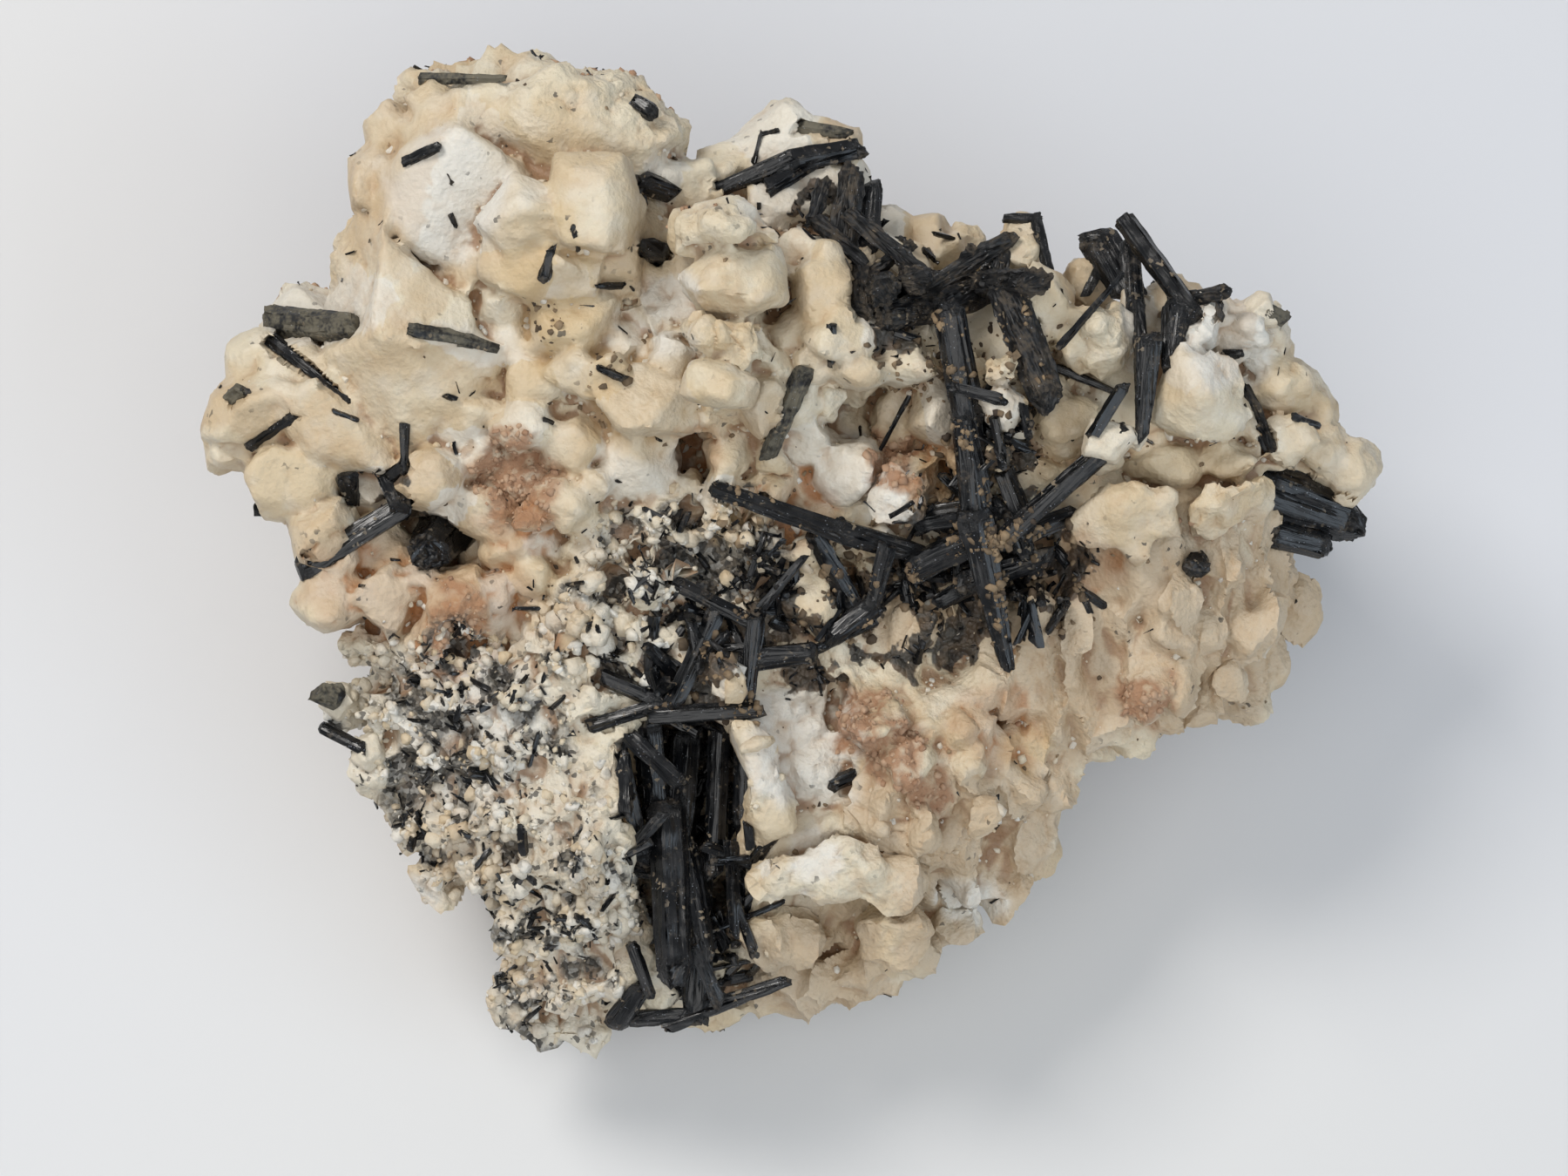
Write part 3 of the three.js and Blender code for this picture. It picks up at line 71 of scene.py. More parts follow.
# Where each kind of surface lies on the face: right, up and radius, in millimetres
ZONES: dict[Zone, Discs] = {
    Zone.GRANULAR: (
        (-45, -14, 10), (-35, -15, 12), (-28, -25, 9), (-38, -27, 9), (-27, -42, 10), (-27, -49, 7),
        (-14, 2, 9), (-22, -5, 7), (-5, 5, 7), (-20, -34, 6), (-33, -35, 6),
    ),
    Zone.PINK: (
        (-31, 12, 6), (9.5, -15, 3.8), (12.5, -19, 4.2), (15.5, -23, 3), (42, -12, 3.2), (12.5, 14, 3),
        (-37, -3, 4),
    ),
    Zone.GOLD: (
        (-15.5, 21, 7), (-20, 24, 5), (18, 13, 4), (27, -18, 3), (-4, 7, 5), (-28, 38, 6), (-25, 29, 6),
    ),
    Zone.WHITE: (
        (-38, 44, 8), (13, 10, 5), (2, -18, 8), (-13, 33, 3), (-15, 27, 3),
        (4, -31, 3), (22, -36, 4), (50, 28, 6), (-36, -16, 9), (-45, -36, 6),
    ),
    Zone.RUST: (
        (-47, 0, 8), (-37, -3, 7), (-32, -1, 5), (18, 13, 4), (-10, 15.5, 3),
        (2, 8, 5), (-30, 6, 4), (24, -16, 5), (34, 2, 4),
    ),
    Zone.CRISP: (
        (-38, 44, 13), (-45, 26, 13), (-22, 45, 10), (44, 20, 9), (27, 33, 8),
        (-6, -12, 5), (36, 5, 9), (-52, 20, 8), (-3, -19, 5), (0, -26, 4),
    ),
    Zone.GRAPES: ((14, -26, 5), (-12, 24, 10), (-28, 4, 8), (54, 30, 8), (-38, -2, 8)),
    Zone.FLUTES: (
        (33, -7, 12), (46, -3, 11), (22, -30, 11), (28, -24, 8), (12, -25, 6), (55, -4, 9), (30, -16, 6),
        (14, -3, 6), (48, -12, 8), (20, -40, 8), (4, -44, 9), (58, 4, 6),
    ),
    Zone.SOOT: (
        (23, 3, 9), (16, 0, 8), (8, -4, 6), (29, 3, 6), (12, -3, 7), (19, -3, 7), (4, -8, 5),
        (-9, 1, 7), (-3, -3, 5), (-12, -9, 6),
        (24, 12, 4), (31, 2, 4), (5, 45, 4), (12, 30, 4), (-44, 10, 3), (-12, -20, 7), (-10, -38, 6),
    ),
    Zone.RIM: (
        (-21, -14, 2.6), (-20.5, -20, 2.6), (-19.6, -26, 2.6), (-18.6, -32, 2.6), (-18.4, -38, 2.6),
        (-22, -5, 5), (-14, -4, 4), (-6, -13, 3), (0, 5, 4), (-2, -20, 2), (-3, -30, 2.4),
    ),
    Zone.CHIPS: (
        (-14, 2, 9), (-22, -5, 8), (-5, 3, 9), (20, 6, 11), (-34, -14, 10),
        (-40, -26, 9), (-28, -40, 10), (-14, -28, 8), (5, 44, 8), (14, 34, 9),
    ),
}

# Discs of the face, right, up and radius: where crumbs lie, where the hub's prisms cross, and the vug
CROSSING: Discs = (
    (22, 4, 9), (28, 0, 8), (16, 2, 8), (24, 16, 7), (17, 27, 7), (26, 27, 6), (8, 0, 8), (-8, -8, 8),
    (-3, 7, 5), (-27, 30, 3), (-20, 24, 3),
)
HUB: Discs = ((22, 6, 8), (16, 1, 7), (28, 0, 6), (24, 18, 5), (8, -2, 5), (-2, 0, 5), (-8, -5, 5))
VUG: Discs = ((-13, -20, 8), (-10, -32, 8), (-9, -42, 7), (-14, -10, 6))

# Feldspar crystals of the face: right, up, half width, half height, in millimetres, and turn in degrees
CRYSTALS: tuple[tuple[float, float, float, float, float], ...] = (
    # Along the left edge
    (-46.5, 46.5, 3, 4, 0), (-45, 52.5, 2.6, 3, 0), (-55.5, 31, 4, 3.4, 0), (-60.2, 25.5, 4, 4, 0),
    (-59.5, 20.3, 7, 4.6, 15), (-63.6, 16.6, 3.2, 2.8, 0), (-56, 12.4, 6, 4.6, -10),
    (-51.5, 18.4, 6.6, 4.6, -42), (-47, 11.6, 3, 2.4, 0), (-52.6, 5.6, 3.8, 4, 0),
    (-51.8, -1, 4.4, 3.4, 0), (-45.2, -1.2, 3.6, 3.6, 0), (-47, 5, 4, 3.4, 0),
    (-37.4, -1.8, 3.8, 4, 20), (-33, -0.4, 2.2, 2.2, 0), (-33, -4.4, 3, 2.8, 0),
    (-40.6, -6, 1.8, 2.8, 0), (-56, 24, 5, 4, 0), (-41.4, 1.2, 2.4, 2, 0), (-54.5, 9.2, 2.6, 2, 0),
    # Below the wedge
    (-40.5, 12.5, 4.4, 3.6, 25), (-36, 16, 4, 3.4, 0), (-36.5, 19.8, 4.6, 3, 0),
    (-33.4, 8, 3.4, 2.8, -20), (-37.4, 9.6, 3.4, 2.4, 0), (-31.2, 5, 3.2, 2.6, 0),
    (-28.6, 1.4, 2.4, 2.4, 0), (-28.4, 5.2, 2.4, 2, 0), (-35.5, 4.6, 2.6, 2.6, 0),
    # The round crystals by the wedge
    (-29, 41.2, 5, 4.8, 0), (-21.6, 43.4, 5.4, 5.6, 0), (-28.4, 35.8, 4.8, 3.6, 0),
    (-31.6, 31.8, 2.8, 2.8, 0), (-24.4, 35, 4, 3.6, 0), (-20, 37, 4, 4, 0), (-24, 30, 4.6, 4, 0),
    (-28.4, 23.4, 3.4, 2.4, 0), (-23.6, 24.6, 3, 2.8, 0), (-29.2, 18.4, 3.2, 2.8, -20),
    (-24, 16.4, 3.2, 3.2, 0), (-17.4, 14, 5, 4.6, 0), (-24.6, 9.6, 3, 3, 0), (-21.4, 11.8, 2, 2, 0),
    (-27.6, 7.6, 1.8, 1.4, 0), (-21.8, 6.8, 2.6, 2, 0), (-30.5, 27.5, 3.6, 2.4, 0),
    # The golden knob
    (-15.4, 21.2, 5.6, 4.2, 0), (-19.6, 23.6, 3, 2.6, 0), (-19, 28, 3, 3, 0),
    # The tall blocks
    (-5.4, 34.4, 5.4, 3.8, 0), (-7.4, 22.6, 3.9, 2.6, -18), (-2.2, 20.8, 2.8, 3.4, 10),
    (1.6, 38, 2.4, 2.6, 0), (-6.2, 15.4, 2.6, 3, 0), (-12.6, 26, 2.4, 2.4, 0),
    # Around the arch
    (4.4, 33.6, 3.4, 4, 0), (6.2, 28.6, 4, 3.8, 0), (4.8, 37, 2.2, 2.4, 0), (12.6, 25.6, 4.6, 2.8, -10),
    (8.4, 24.4, 3.2, 2, 0), (13.6, 19.6, 3.4, 3.4, 0), (17.6, 20.2, 3.4, 3.6, 0),
    (2.6, 16.6, 2.4, 2.8, 0), (2, 20.6, 2, 3, -20), (7, 13.6, 4, 3.2, 20), (1.5, 28.5, 3, 3, 0),
    (10.6, 29, 3, 3, 0), (3.4, 24.8, 2.2, 2, 0),
    # The lobe at the top
    (0.6, 48.6, 7, 5.8, -10), (-6, 47.4, 3.8, 3.8, 0), (-10.4, 46, 3.2, 3.2, 0),
    (-12.6, 46.6, 2.4, 2.6, 0), (6, 44.4, 4, 4.6, 0), (12.6, 41, 1.8, 3, 0), (16, 40, 3.4, 3.2, 0),
    (19.4, 37.8, 4, 3, 0), (8.6, 37.6, 2, 2, 0), (11.2, 38.2, 2.4, 2.4, 0), (14.2, 35.8, 3, 3, 0),
    (-0.5, 44, 4, 3, 0), (5, 50.5, 3.4, 3.4, 0),
    # The right shoulder
    (27, 39.2, 2, 3.3, -8), (29.4, 31.2, 3, 3, 0), (40.6, 31, 2, 3, 0), (24.6, 20.4, 2.1, 2.2, 0),
    (25.8, 17.8, 1.4, 1.8, 0), (24, 14.8, 1.5, 1.5, 0), (32, 18.6, 4.8, 3.8, 0), (47, 30, 3, 3, 0),
    (51.6, 29.4, 3, 3.4, 0), (55, 28, 2.8, 3.6, 0), (56.6, 23.4, 4, 3.6, 0), (60.4, 19.8, 3, 3.2, 0),
    (64, 13.6, 3.6, 4, 0), (57, 17, 4.2, 3, 0), (43.4, 14, 4.4, 2.4, 0), (50, 14.6, 4, 2.4, 0),
    (45, 33, 3, 2, 0), (22.6, 29, 3, 2.6, 0), (34.6, 35, 2.6, 2.6, 0), (61.5, 16, 2.6, 2.6, 0),
    (30, 22.6, 3, 2.4, 0),
    # The middle and the flank
    (-7, 9.8, 2.2, 3.4, -10), (-2.4, 10.4, 3.4, 2.6, 0), (-3.4, 5, 4.3, 3.4, 0), (-14, 6.8, 4.2, 3, 0),
    (-21, 3.6, 2.6, 2.8, 0), (-14.8, 0.4, 4, 3, 0), (-23.4, -0.4, 3.2, 2.6, 0),
    (-22.4, -4.6, 2.4, 2, 0), (-14.6, -5.2, 3.6, 2.4, 0), (-5.2, 1.2, 3, 2.4, 0),
    (3.2, -1.4, 3.4, 3.6, 0), (11, 5.2, 2.4, 1.8, 0), (2.4, 4.4, 2.6, 2.2, 0), (-9, 4, 3, 3, 0),
)


@dataclass(frozen=True)
class PhotoFace:
    """The face that the specimen turns to the viewer, with its own right, up and outward in millimetres."""

    lean: float = math.radians(14.0)
    origin: tuple[float, float, float] = (-0.478, -4.698, 34.0)

    def turn(self) -> np.ndarray:
        """Returns the rotation from the face's axes to the row frame's."""
        cos, sin = math.cos(self.lean), math.sin(self.lean)
        return np.array([[1.0, 0.0, 0.0], [0.0, cos, -sin], [0.0, sin, cos]])

    def outward(self) -> np.ndarray:
        """Returns the direction out of the face, in the row frame."""
        return self.turn()[:, 2]

    def to_row(self, points: np.ndarray) -> np.ndarray:
        """Carries points of the face into the row frame.

        Args:
            points: Right, up and outward of each point, in millimetres.

        Returns:
            The same points in the row frame, in millimetres.
        """
        return np.asarray(points, float) @ self.turn().T + np.array(self.origin)

    def from_row(self, points: np.ndarray) -> np.ndarray:
        """Carries points of the row frame onto the face.

        Args:
            points: Places in the row frame, in millimetres.

        Returns:
            Right, up and outward of each, in millimetres.
        """
        return (np.asarray(points, float) - np.array(self.origin)) @ self.turn()


class StoneNoise:
    """Seeded noise fields that the surfaces are worked with, read at points in millimetres."""

    def __init__(self, seed: int) -> None:
        """Draws the field's own tables.

        Args:
            seed: The number that the tables are drawn from.
        """
        rng = np.random.default_rng(seed)
        self._order = rng.permutation(TABLE)
        slopes = rng.normal(size=(TABLE, 3))
        self._slopes = slopes / np.linalg.norm(slopes, axis=1, keepdims=True)
        self._offsets = rng.random((TABLE, 3))
        self._turns = turns_for(seed)

    def _entry(self, cell: np.ndarray) -> np.ndarray:
        """Returns the table entry of each whole-number cell.

        Args:
            cell: The cells, three whole numbers each.

        Returns:
            The entries.
        """
        first = self._order[cell[..., 0] % TABLE]
        second = self._order[(first + cell[..., 1]) % TABLE]
        return self._order[(second + cell[..., 2]) % TABLE]

    def smooth(self, points: np.ndarray, size: float) -> np.ndarray:
        """Reads a soft rolling field.

        Args:
            points: Where it is read.
            size: The length of one swell.

        Returns:
            A value of about -1 to 1 at each point.
        """
        scaled = points / size
        low = np.floor(scaled).astype(int)
        part = scaled - low
        fade = part**3 * (part * (part * 6 - 15) + 10)
        total = np.zeros(len(points))
        for corner in np.ndindex(2, 2, 2):
            step = np.array(corner)
            slope = self._slopes[self._entry(low + step)]
            weight = np.prod(np.where(step, fade, 1 - fade), axis=1)
            total += weight * np.einsum("ij,ij->i", slope, part - step)
        return total * 1.6

    def cells(self, points: np.ndarray, size: float) -> tuple[np.ndarray, np.ndarray]:
        """Reads a field of packed grains.

        Args:
            points: Where it is read.
            size: The usual width of a grain.

        Returns:
            How far inside its grain each point is, from 0 at the seams to about 1, and the
            grain's own number.
        """
        scaled = points / size
        low = np.floor(scaled).astype(int)
        nearest = np.full(len(points), 9.0)
        second = nearest.copy()
        share = np.zeros(len(points))
        for corner in np.ndindex(3, 3, 3):
            cell = low + np.array(corner) - 1
            offset = self._offsets[self._entry(cell)]
            far = np.linalg.norm(cell + offset - scaled, axis=1)
            closer = far < nearest
            second = np.where(closer, nearest, np.minimum(second, far))
            share = np.where(closer, offset[:, 0], share)
            nearest = np.minimum(nearest, far)
        return np.clip((second - nearest) * 1.7, 0, 1), share

    def blocks(self, points: np.ndarray, size: float, part: np.ndarray) -> np.ndarray:
        """Reads a field of blocky crystals that stand in each other at odd angles.

        Args:
            points: Where it is read.
            size: The usual width of a block.
            part: How much of it each point needs, so that points with none are left out.

        Returns:
            The height at each point, from 0 in the seams to 1 on flat tops, times part.
        """
        height = np.zeros(len(points))
        needed = np.flatnonzero(part > 0.01)
        scaled = points[needed] / size
        low = np.floor(scaled).astype(int)
        nearest = np.full(len(needed), 9.0)
        for corner in np.ndindex(3, 3, 3):
            cell = low + np.array(corner) - 1
            entry = self._entry(cell)
            away = scaled - cell - self._offsets[entry]
            sides = np.abs(np.einsum("nij,nj->ni", self._turns[entry], away))
            nearest = np.minimum(nearest, sides.max(axis=1) * (0.8 + 0.5 * self._offsets[entry, 1]))
        height[needed] = np.clip(1.25 - 2.2 * nearest, 0, 1)
        return height * part


def turns_for(seed: int) -> np.ndarray:
    """Returns a table of random turns, one 3 by 3 matrix for each entry.

    Args:
        seed: The number that the table is drawn from.

    Returns:
        The turns.
    """
    rng = np.random.default_rng(seed)
    turns = np.linalg.qr(rng.normal(size=(TABLE, 3, 3)))[0]
    return turns * np.sign(np.linalg.det(turns))[:, None, None]


def step_between(low: float, high: float, values: np.ndarray) -> np.ndarray:
    """Returns a soft step from 0 at low to 1 at high."""
    share = np.clip((values - low) / (high - low), 0, 1)
    return share * share * (3 - 2 * share)


def unit(vectors: np.ndarray) -> np.ndarray:
    """Returns each row at length one."""
    return vectors / np.maximum(np.linalg.norm(vectors, axis=-1, keepdims=True), 1e-9)


def paint(mesh: bpy.types.Mesh, name: str, columns: list[np.ndarray]) -> None:
    """Keeps up to three values a vertex as a colour layer.

    Args:
        mesh: The mesh that carries the layer.
        name: The layer's name.
        columns: One array of values for each colour channel.
    """
    count = len(mesh.vertices)
    values = np.ones((count, 4), np.float32)
    for channel in range(3):
        values[:, channel] = columns[channel] if channel < len(columns) else 0.0
    layer = mesh.color_attributes.new(name=name, type="FLOAT_COLOR", domain="POINT")
    layer.data.foreach_set("color", values.ravel())


def paint_as_rock(mesh: bpy.types.Mesh, shade: np.ndarray, granular: float) -> None:
    """Gives a loose grain or crystal the layers that the feldspar's finish reads.

    Args:
        mesh: The mesh that carries the layers.
        shade: How pale each vertex is.
        granular: How much of that shade counts as sugary.
    """
    paint(mesh, "tones", [shade])
    paint(mesh, "zones", [granular * shade])
    paint(mesh, "marks", [0 * shade, shade, 0.5 + 0 * shade])
    paint(mesh, "flank", [0 * shade])


def ball(subdivisions: int) -> tuple[np.ndarray, np.ndarray]:
    """Makes an evenly divided ball of radius one, from which crystals are cut.

    Args:
        subdivisions: How often its faces are divided.

    Returns:
        Its vertices and its triangles.
    """
    work = bmesh.new()
    bmesh.ops.create_icosphere(work, subdivisions=subdivisions, radius=1.0)
    ways = np.array([tuple(v.co) for v in work.verts])
    sides = np.array([[v.index for v in f.verts] for f in work.faces])
    work.free()
    return ways, sides


def places_of(mesh: bpy.types.Mesh) -> np.ndarray:
    """Returns the mesh's vertices in millimetres.

    Args:
        mesh: The mesh to read.

    Returns:
        One place for each vertex.
    """
    values = np.empty(len(mesh.vertices) * 3, np.float32)
    mesh.vertices.foreach_get("co", values)
    return values.reshape(-1, 3).astype(float) / MM


def put_places(mesh: bpy.types.Mesh, places: np.ndarray) -> None:
    """Moves the mesh's vertices to these places in millimetres."""
    mesh.vertices.foreach_set("co", (places * MM).astype(np.float32).ravel())
    mesh.update()


def mesh_from(name: str, places: np.ndarray, faces: np.ndarray) -> bpy.types.Mesh:
    """Makes a mesh from arrays.

    Args:
        name: The mesh's name.
        places: Its vertices, in millimetres.
        faces: The vertex numbers of its triangles.

    Returns:
        The mesh.
    """
    mesh = bpy.data.meshes.new(name)
    mesh.from_pydata((places * MM).tolist(), [], faces.tolist())
    mesh.update()
    return mesh


def show(name: str, mesh: bpy.types.Mesh, material: bpy.types.Material) -> bpy.types.Object:
    """Puts a mesh in the scene with its one material.

    Args:
        name: The piece's name.
        mesh: Its mesh.
        material: Its finish.

    Returns:
        The new object.
    """
    piece = bpy.data.objects.new(name, mesh)
    bpy.context.scene.collection.objects.link(piece)
    mesh.materials.clear()
    mesh.materials.append(material)
    return piece


class Surface:
    """A mesh whose surface is being worked: its places in millimetres, and which vertices touch."""

    def __init__(self, mesh: bpy.types.Mesh) -> None:
        """Reads the mesh.

        Args:
            mesh: The mesh to work.
        """
        self.mesh = mesh
        self.places = places_of(mesh)
        ends = np.empty(len(mesh.edges) * 2, np.int32)
        mesh.edges.foreach_get("vertices", ends)
        self.ends = ends.reshape(-1, 2)
        count = len(self.places)
        self.links = np.bincount(self.ends.ravel(), minlength=count).astype(float)
        self.links = np.maximum(self.links, 1)

    def mean(self, values: np.ndarray) -> np.ndarray:
        """Returns the mean of each vertex's neighbours' values.

        Args:
            values: One row of values for each vertex.

        Returns:
            The means.
        """
        one, other = self.ends.T
        count = len(self.places)
        columns = [
            np.bincount(one, values[other, k], count) + np.bincount(other, values[one, k], count)
            for k in range(values.shape[1])
        ]
        return np.stack(columns, axis=1) / self.links[:, None]

    def relax(self, rounds: int, share: np.ndarray | float) -> None:
        """Softens the surface.

        Args:
            rounds: How many times each vertex moves towards its neighbours.
            share: How far it moves each time, from 0 to 1.
        """
        amount = np.broadcast_to(np.asarray(share, float), (len(self.places),))[:, None]
        for _ in range(rounds):
            self.places = self.places + amount * (self.mean(self.places) - self.places)

    def normals(self) -> np.ndarray:
        """Returns the direction out of the surface at each vertex.

        Returns:
            One direction of length one for each vertex.
        """
        put_places(self.mesh, self.places)
        values = np.empty(len(self.places) * 3, np.float32)
        self.mesh.vertex_normals.foreach_get("vector", values)
        return values.reshape(-1, 3).astype(float)

    def hollow(self, rounds: int) -> np.ndarray:
        """Measures how deep each vertex lies below its surroundings.

        Args:
            rounds: How wide the surroundings are.

        Returns:
            Millimetres below them, negative on a ridge.
        """
        around = self.places
        for _ in range(rounds):
            around = self.mean(around)
        return np.einsum("ij,ij->i", around - self.places, self.normals())


class Ground:
    """Heights of a rock out of the face."""

    def __init__(self, rock: bpy.types.Object, face: PhotoFace) -> None:
        """Reads the rock.

        Args:
            rock: The rock.
            face: The face of the specimen.
        """
        self.face = face
        self.tree = BVHTree.FromObject(rock, bpy.context.evaluated_depsgraph_get())

    def height(self, right: float, up: float) -> float | None:
        """Finds the rock's height out of the face.

        Args:
            right: Place along the face, in millimetres.
            up: Place up the face.

        Returns:
            How far out the rock lies there, or None where there is none.
        """
        start = Vector(self.face.to_row(np.array([right, up, 90.0])) * MM)
        hit = self.tree.ray_cast(start, -Vector(self.face.outward()))
        if hit[0] is None:
            return None
        return float(self.face.from_row(np.array(hit[0]) / MM)[2])


def voxel_copy(source: bpy.types.Mesh, voxel: float) -> bpy.types.Mesh:
    """Makes an evenly divided copy of a shape, in which overlapping bodies are one.

    Args:
        source: The shape.
        voxel: The width of one face of the copy, in millimetres.

    Returns:
        The new mesh.
    """
    helper = bpy.data.objects.new("helper", source.copy())
    bpy.context.scene.collection.objects.link(helper)
    remesh = helper.modifiers.new("even_faces", "REMESH")
    remesh.mode = "VOXEL"
    remesh.voxel_size = voxel * MM
    graph = bpy.context.evaluated_depsgraph_get()
    mesh = bpy.data.meshes.new_from_object(helper.evaluated_get(graph))
    bpy.data.objects.remove(helper)
    return mesh


def thinned(mesh: bpy.types.Mesh, most: int, hidden: np.ndarray) -> bpy.types.Mesh:
    """Drops the faces that a shape needs least, and first of all those that are hardly seen.

    Args:
        mesh: The mesh to thin.
        most: How many triangles it may keep.
        hidden: Which vertices are hardly seen.

    Returns:
        The lighter mesh.
    """
    helper = bpy.data.objects.new("helper", mesh)
    bpy.context.scene.collection.objects.link(helper)
    mesh.calc_loop_triangles()
    count = len(mesh.loop_triangles)
    group = helper.vertex_groups.new(name="hidden")
    group.add(np.flatnonzero(hidden).tolist(), 1.0, "REPLACE")
    plain = helper.modifiers.new("fewer_hidden_faces", "DECIMATE")
    plain.ratio = 1 - 0.5 * float(hidden.mean())
    plain.vertex_group = group.name
    collapse = helper.modifiers.new("fewer_faces", "DECIMATE")
    collapse.ratio = min(1.0, most / (count * plain.ratio))
    collapse.use_collapse_triangulate = True
    graph = bpy.context.evaluated_depsgraph_get()
    lighter = bpy.data.meshes.new_from_object(helper.evaluated_get(graph))
    bpy.data.objects.remove(helper)
    return lighter


class Bench:
    """Places and links the shader nodes of one tree."""

    def __init__(self, tree: bpy.types.NodeTree) -> None:
        """Takes the tree to work on.

        Args:
            tree: A material's or a group's node tree.
        """
        self.tree = tree

    def node(self, kind: str, **settings: object) -> bpy.types.Node:
        """Adds a node.

        Args:
            kind: The node's type name.
            **settings: Its own options.

        Returns:
            The node.
        """
        made = self.tree.nodes.new(kind)
        for key, value in settings.items():
            setattr(made, key, value)
        return made

    def feed(self, socket: bpy.types.NodeSocket, value: object) -> None:
        """Links a socket to another, or sets it to a plain value.

        Args:
            socket: The input to feed.
            value: An output to link to it, or its plain value.
        """
        if isinstance(value, bpy.types.NodeSocket):
            self.tree.links.new(value, socket)
        else:
            socket.default_value = value

    def sums(self, operation: str, first: object, second: object = 0.0) -> bpy.types.NodeSocket:
        """Returns the result of a clamped sum of two values.

        Args:
            operation: The sum's name.
            first: The first value or output.
            second: The second one.

        Returns:
            The result, from 0 to 1.
        """
        made = self.node("ShaderNodeMath", operation=operation, use_clamp=True)
        self.feed(made.inputs[0], first)
        self.feed(made.inputs[1], second)
        return made.outputs[0]

    def between(self, value: object, low: float, high: float) -> bpy.types.NodeSocket:
        """Returns a soft step from 0 at low to 1 at high.

        Args:
            value: The value or output to judge.
            low: Where the step starts.
            high: Where it ends.

        Returns:
            The step.
        """
        made = self.node("ShaderNodeMapRange", interpolation_type="SMOOTHSTEP")
        self.feed(made.inputs["Value"], value)
        made.inputs["From Min"].default_value = low
        made.inputs["From Max"].default_value = high
        return made.outputs["Result"]

    def noise(self, where: object, size: float, detail: float = 3.0) -> bpy.types.NodeSocket:
        """Returns a cloudy value of about 0.3 to 0.7 whose swells have this size.

        Args:
            where: The places.
            size: The length of a swell.
            detail: How fine it gets.

        Returns:
            The value.
        """
        made = self.node("ShaderNodeTexNoise")
        self.feed(made.inputs["Vector"], where)
        made.inputs["Scale"].default_value = 1.0 / size
        made.inputs["Detail"].default_value = detail
        return made.outputs["Fac"]

    def grains(self, where: object, size: float) -> bpy.types.NodeSocket:
        """Returns how far each point is from the middle of its grain.

        Args:
            where: The places.
            size: The usual width of a grain.

        Returns:
            The distance, as a share of that width.
        """
        made = self.node("ShaderNodeTexVoronoi")
        self.feed(made.inputs["Vector"], where)
        made.inputs["Scale"].default_value = 1.0 / size
        return made.outputs["Distance"]

    def shades(self, where: object, size: float) -> bpy.types.NodeSocket:
        """Returns a value of 0 to 1 that is the same all over a grain of this size.

        Args:
            where: The places.
            size: The usual width of a grain.

        Returns:
            The grain's own value.
        """
        made = self.node("ShaderNodeTexVoronoi")
        self.feed(made.inputs["Vector"], where)
        made.inputs["Scale"].default_value = 1.0 / size
        split = self.node("ShaderNodeSeparateColor")
        self.feed(split.inputs[0], made.outputs["Color"])
        return split.outputs[0]

    def stirred(self, where: object, size: float, amount: float) -> bpy.types.NodeSocket:
        """Returns places that wander by this amount, so that what is read there has frayed edges.

        Args:
            where: The places.
            size: The length of one wandering.
            amount: How far they wander.

        Returns:
            The moved places.
        """
        swell = self.node("ShaderNodeTexNoise")
        self.feed(swell.inputs["Vector"], where)
        swell.inputs["Scale"].default_value = 1.0 / size
        pushed = self.node("ShaderNodeVectorMath", operation="MULTIPLY_ADD")
        self.feed(pushed.inputs[0], swell.outputs["Color"])
        pushed.inputs[1].default_value = (amount, amount, amount)
        self.feed(pushed.inputs[2], where)
        return pushed.outputs[0]

    def blend(self, share: object, first: object, second: object) -> bpy.types.NodeSocket:
        """Returns a mix of two colours.

        Args:
            share: How much of the second colour.
            first: One colour.
            second: The other.

        Returns:
            The mixed colour.
        """
        made = self.node("ShaderNodeMix", data_type="RGBA")
        self.feed(made.inputs[0], share)
        self.feed(made.inputs[6], first)
        self.feed(made.inputs[7], second)
        return made.outputs[2]

    def layer(self, name: str) -> tuple[bpy.types.NodeSocket, ...]:
        """Returns the three channels of a colour layer of the mesh.

        Args:
            name: The layer's name.

        Returns:
            The three outputs.
        """
        made = self.node("ShaderNodeVertexColor", layer_name=name)
        split = self.node("ShaderNodeSeparateColor")
        self.feed(split.inputs[0], made.outputs["Color"])
        return tuple(split.outputs[:3])

    def millimetres(self) -> bpy.types.NodeSocket:
        """Returns the place on the object, in millimetres.

        Returns:
            The place.
        """
        made = self.node("ShaderNodeTexCoord")
        scaled = self.node("ShaderNodeVectorMath", operation="SCALE")
        self.feed(scaled.inputs[0], made.outputs["Object"])
        scaled.inputs["Scale"].default_value = 1.0 / MM
        return scaled.outputs[0]


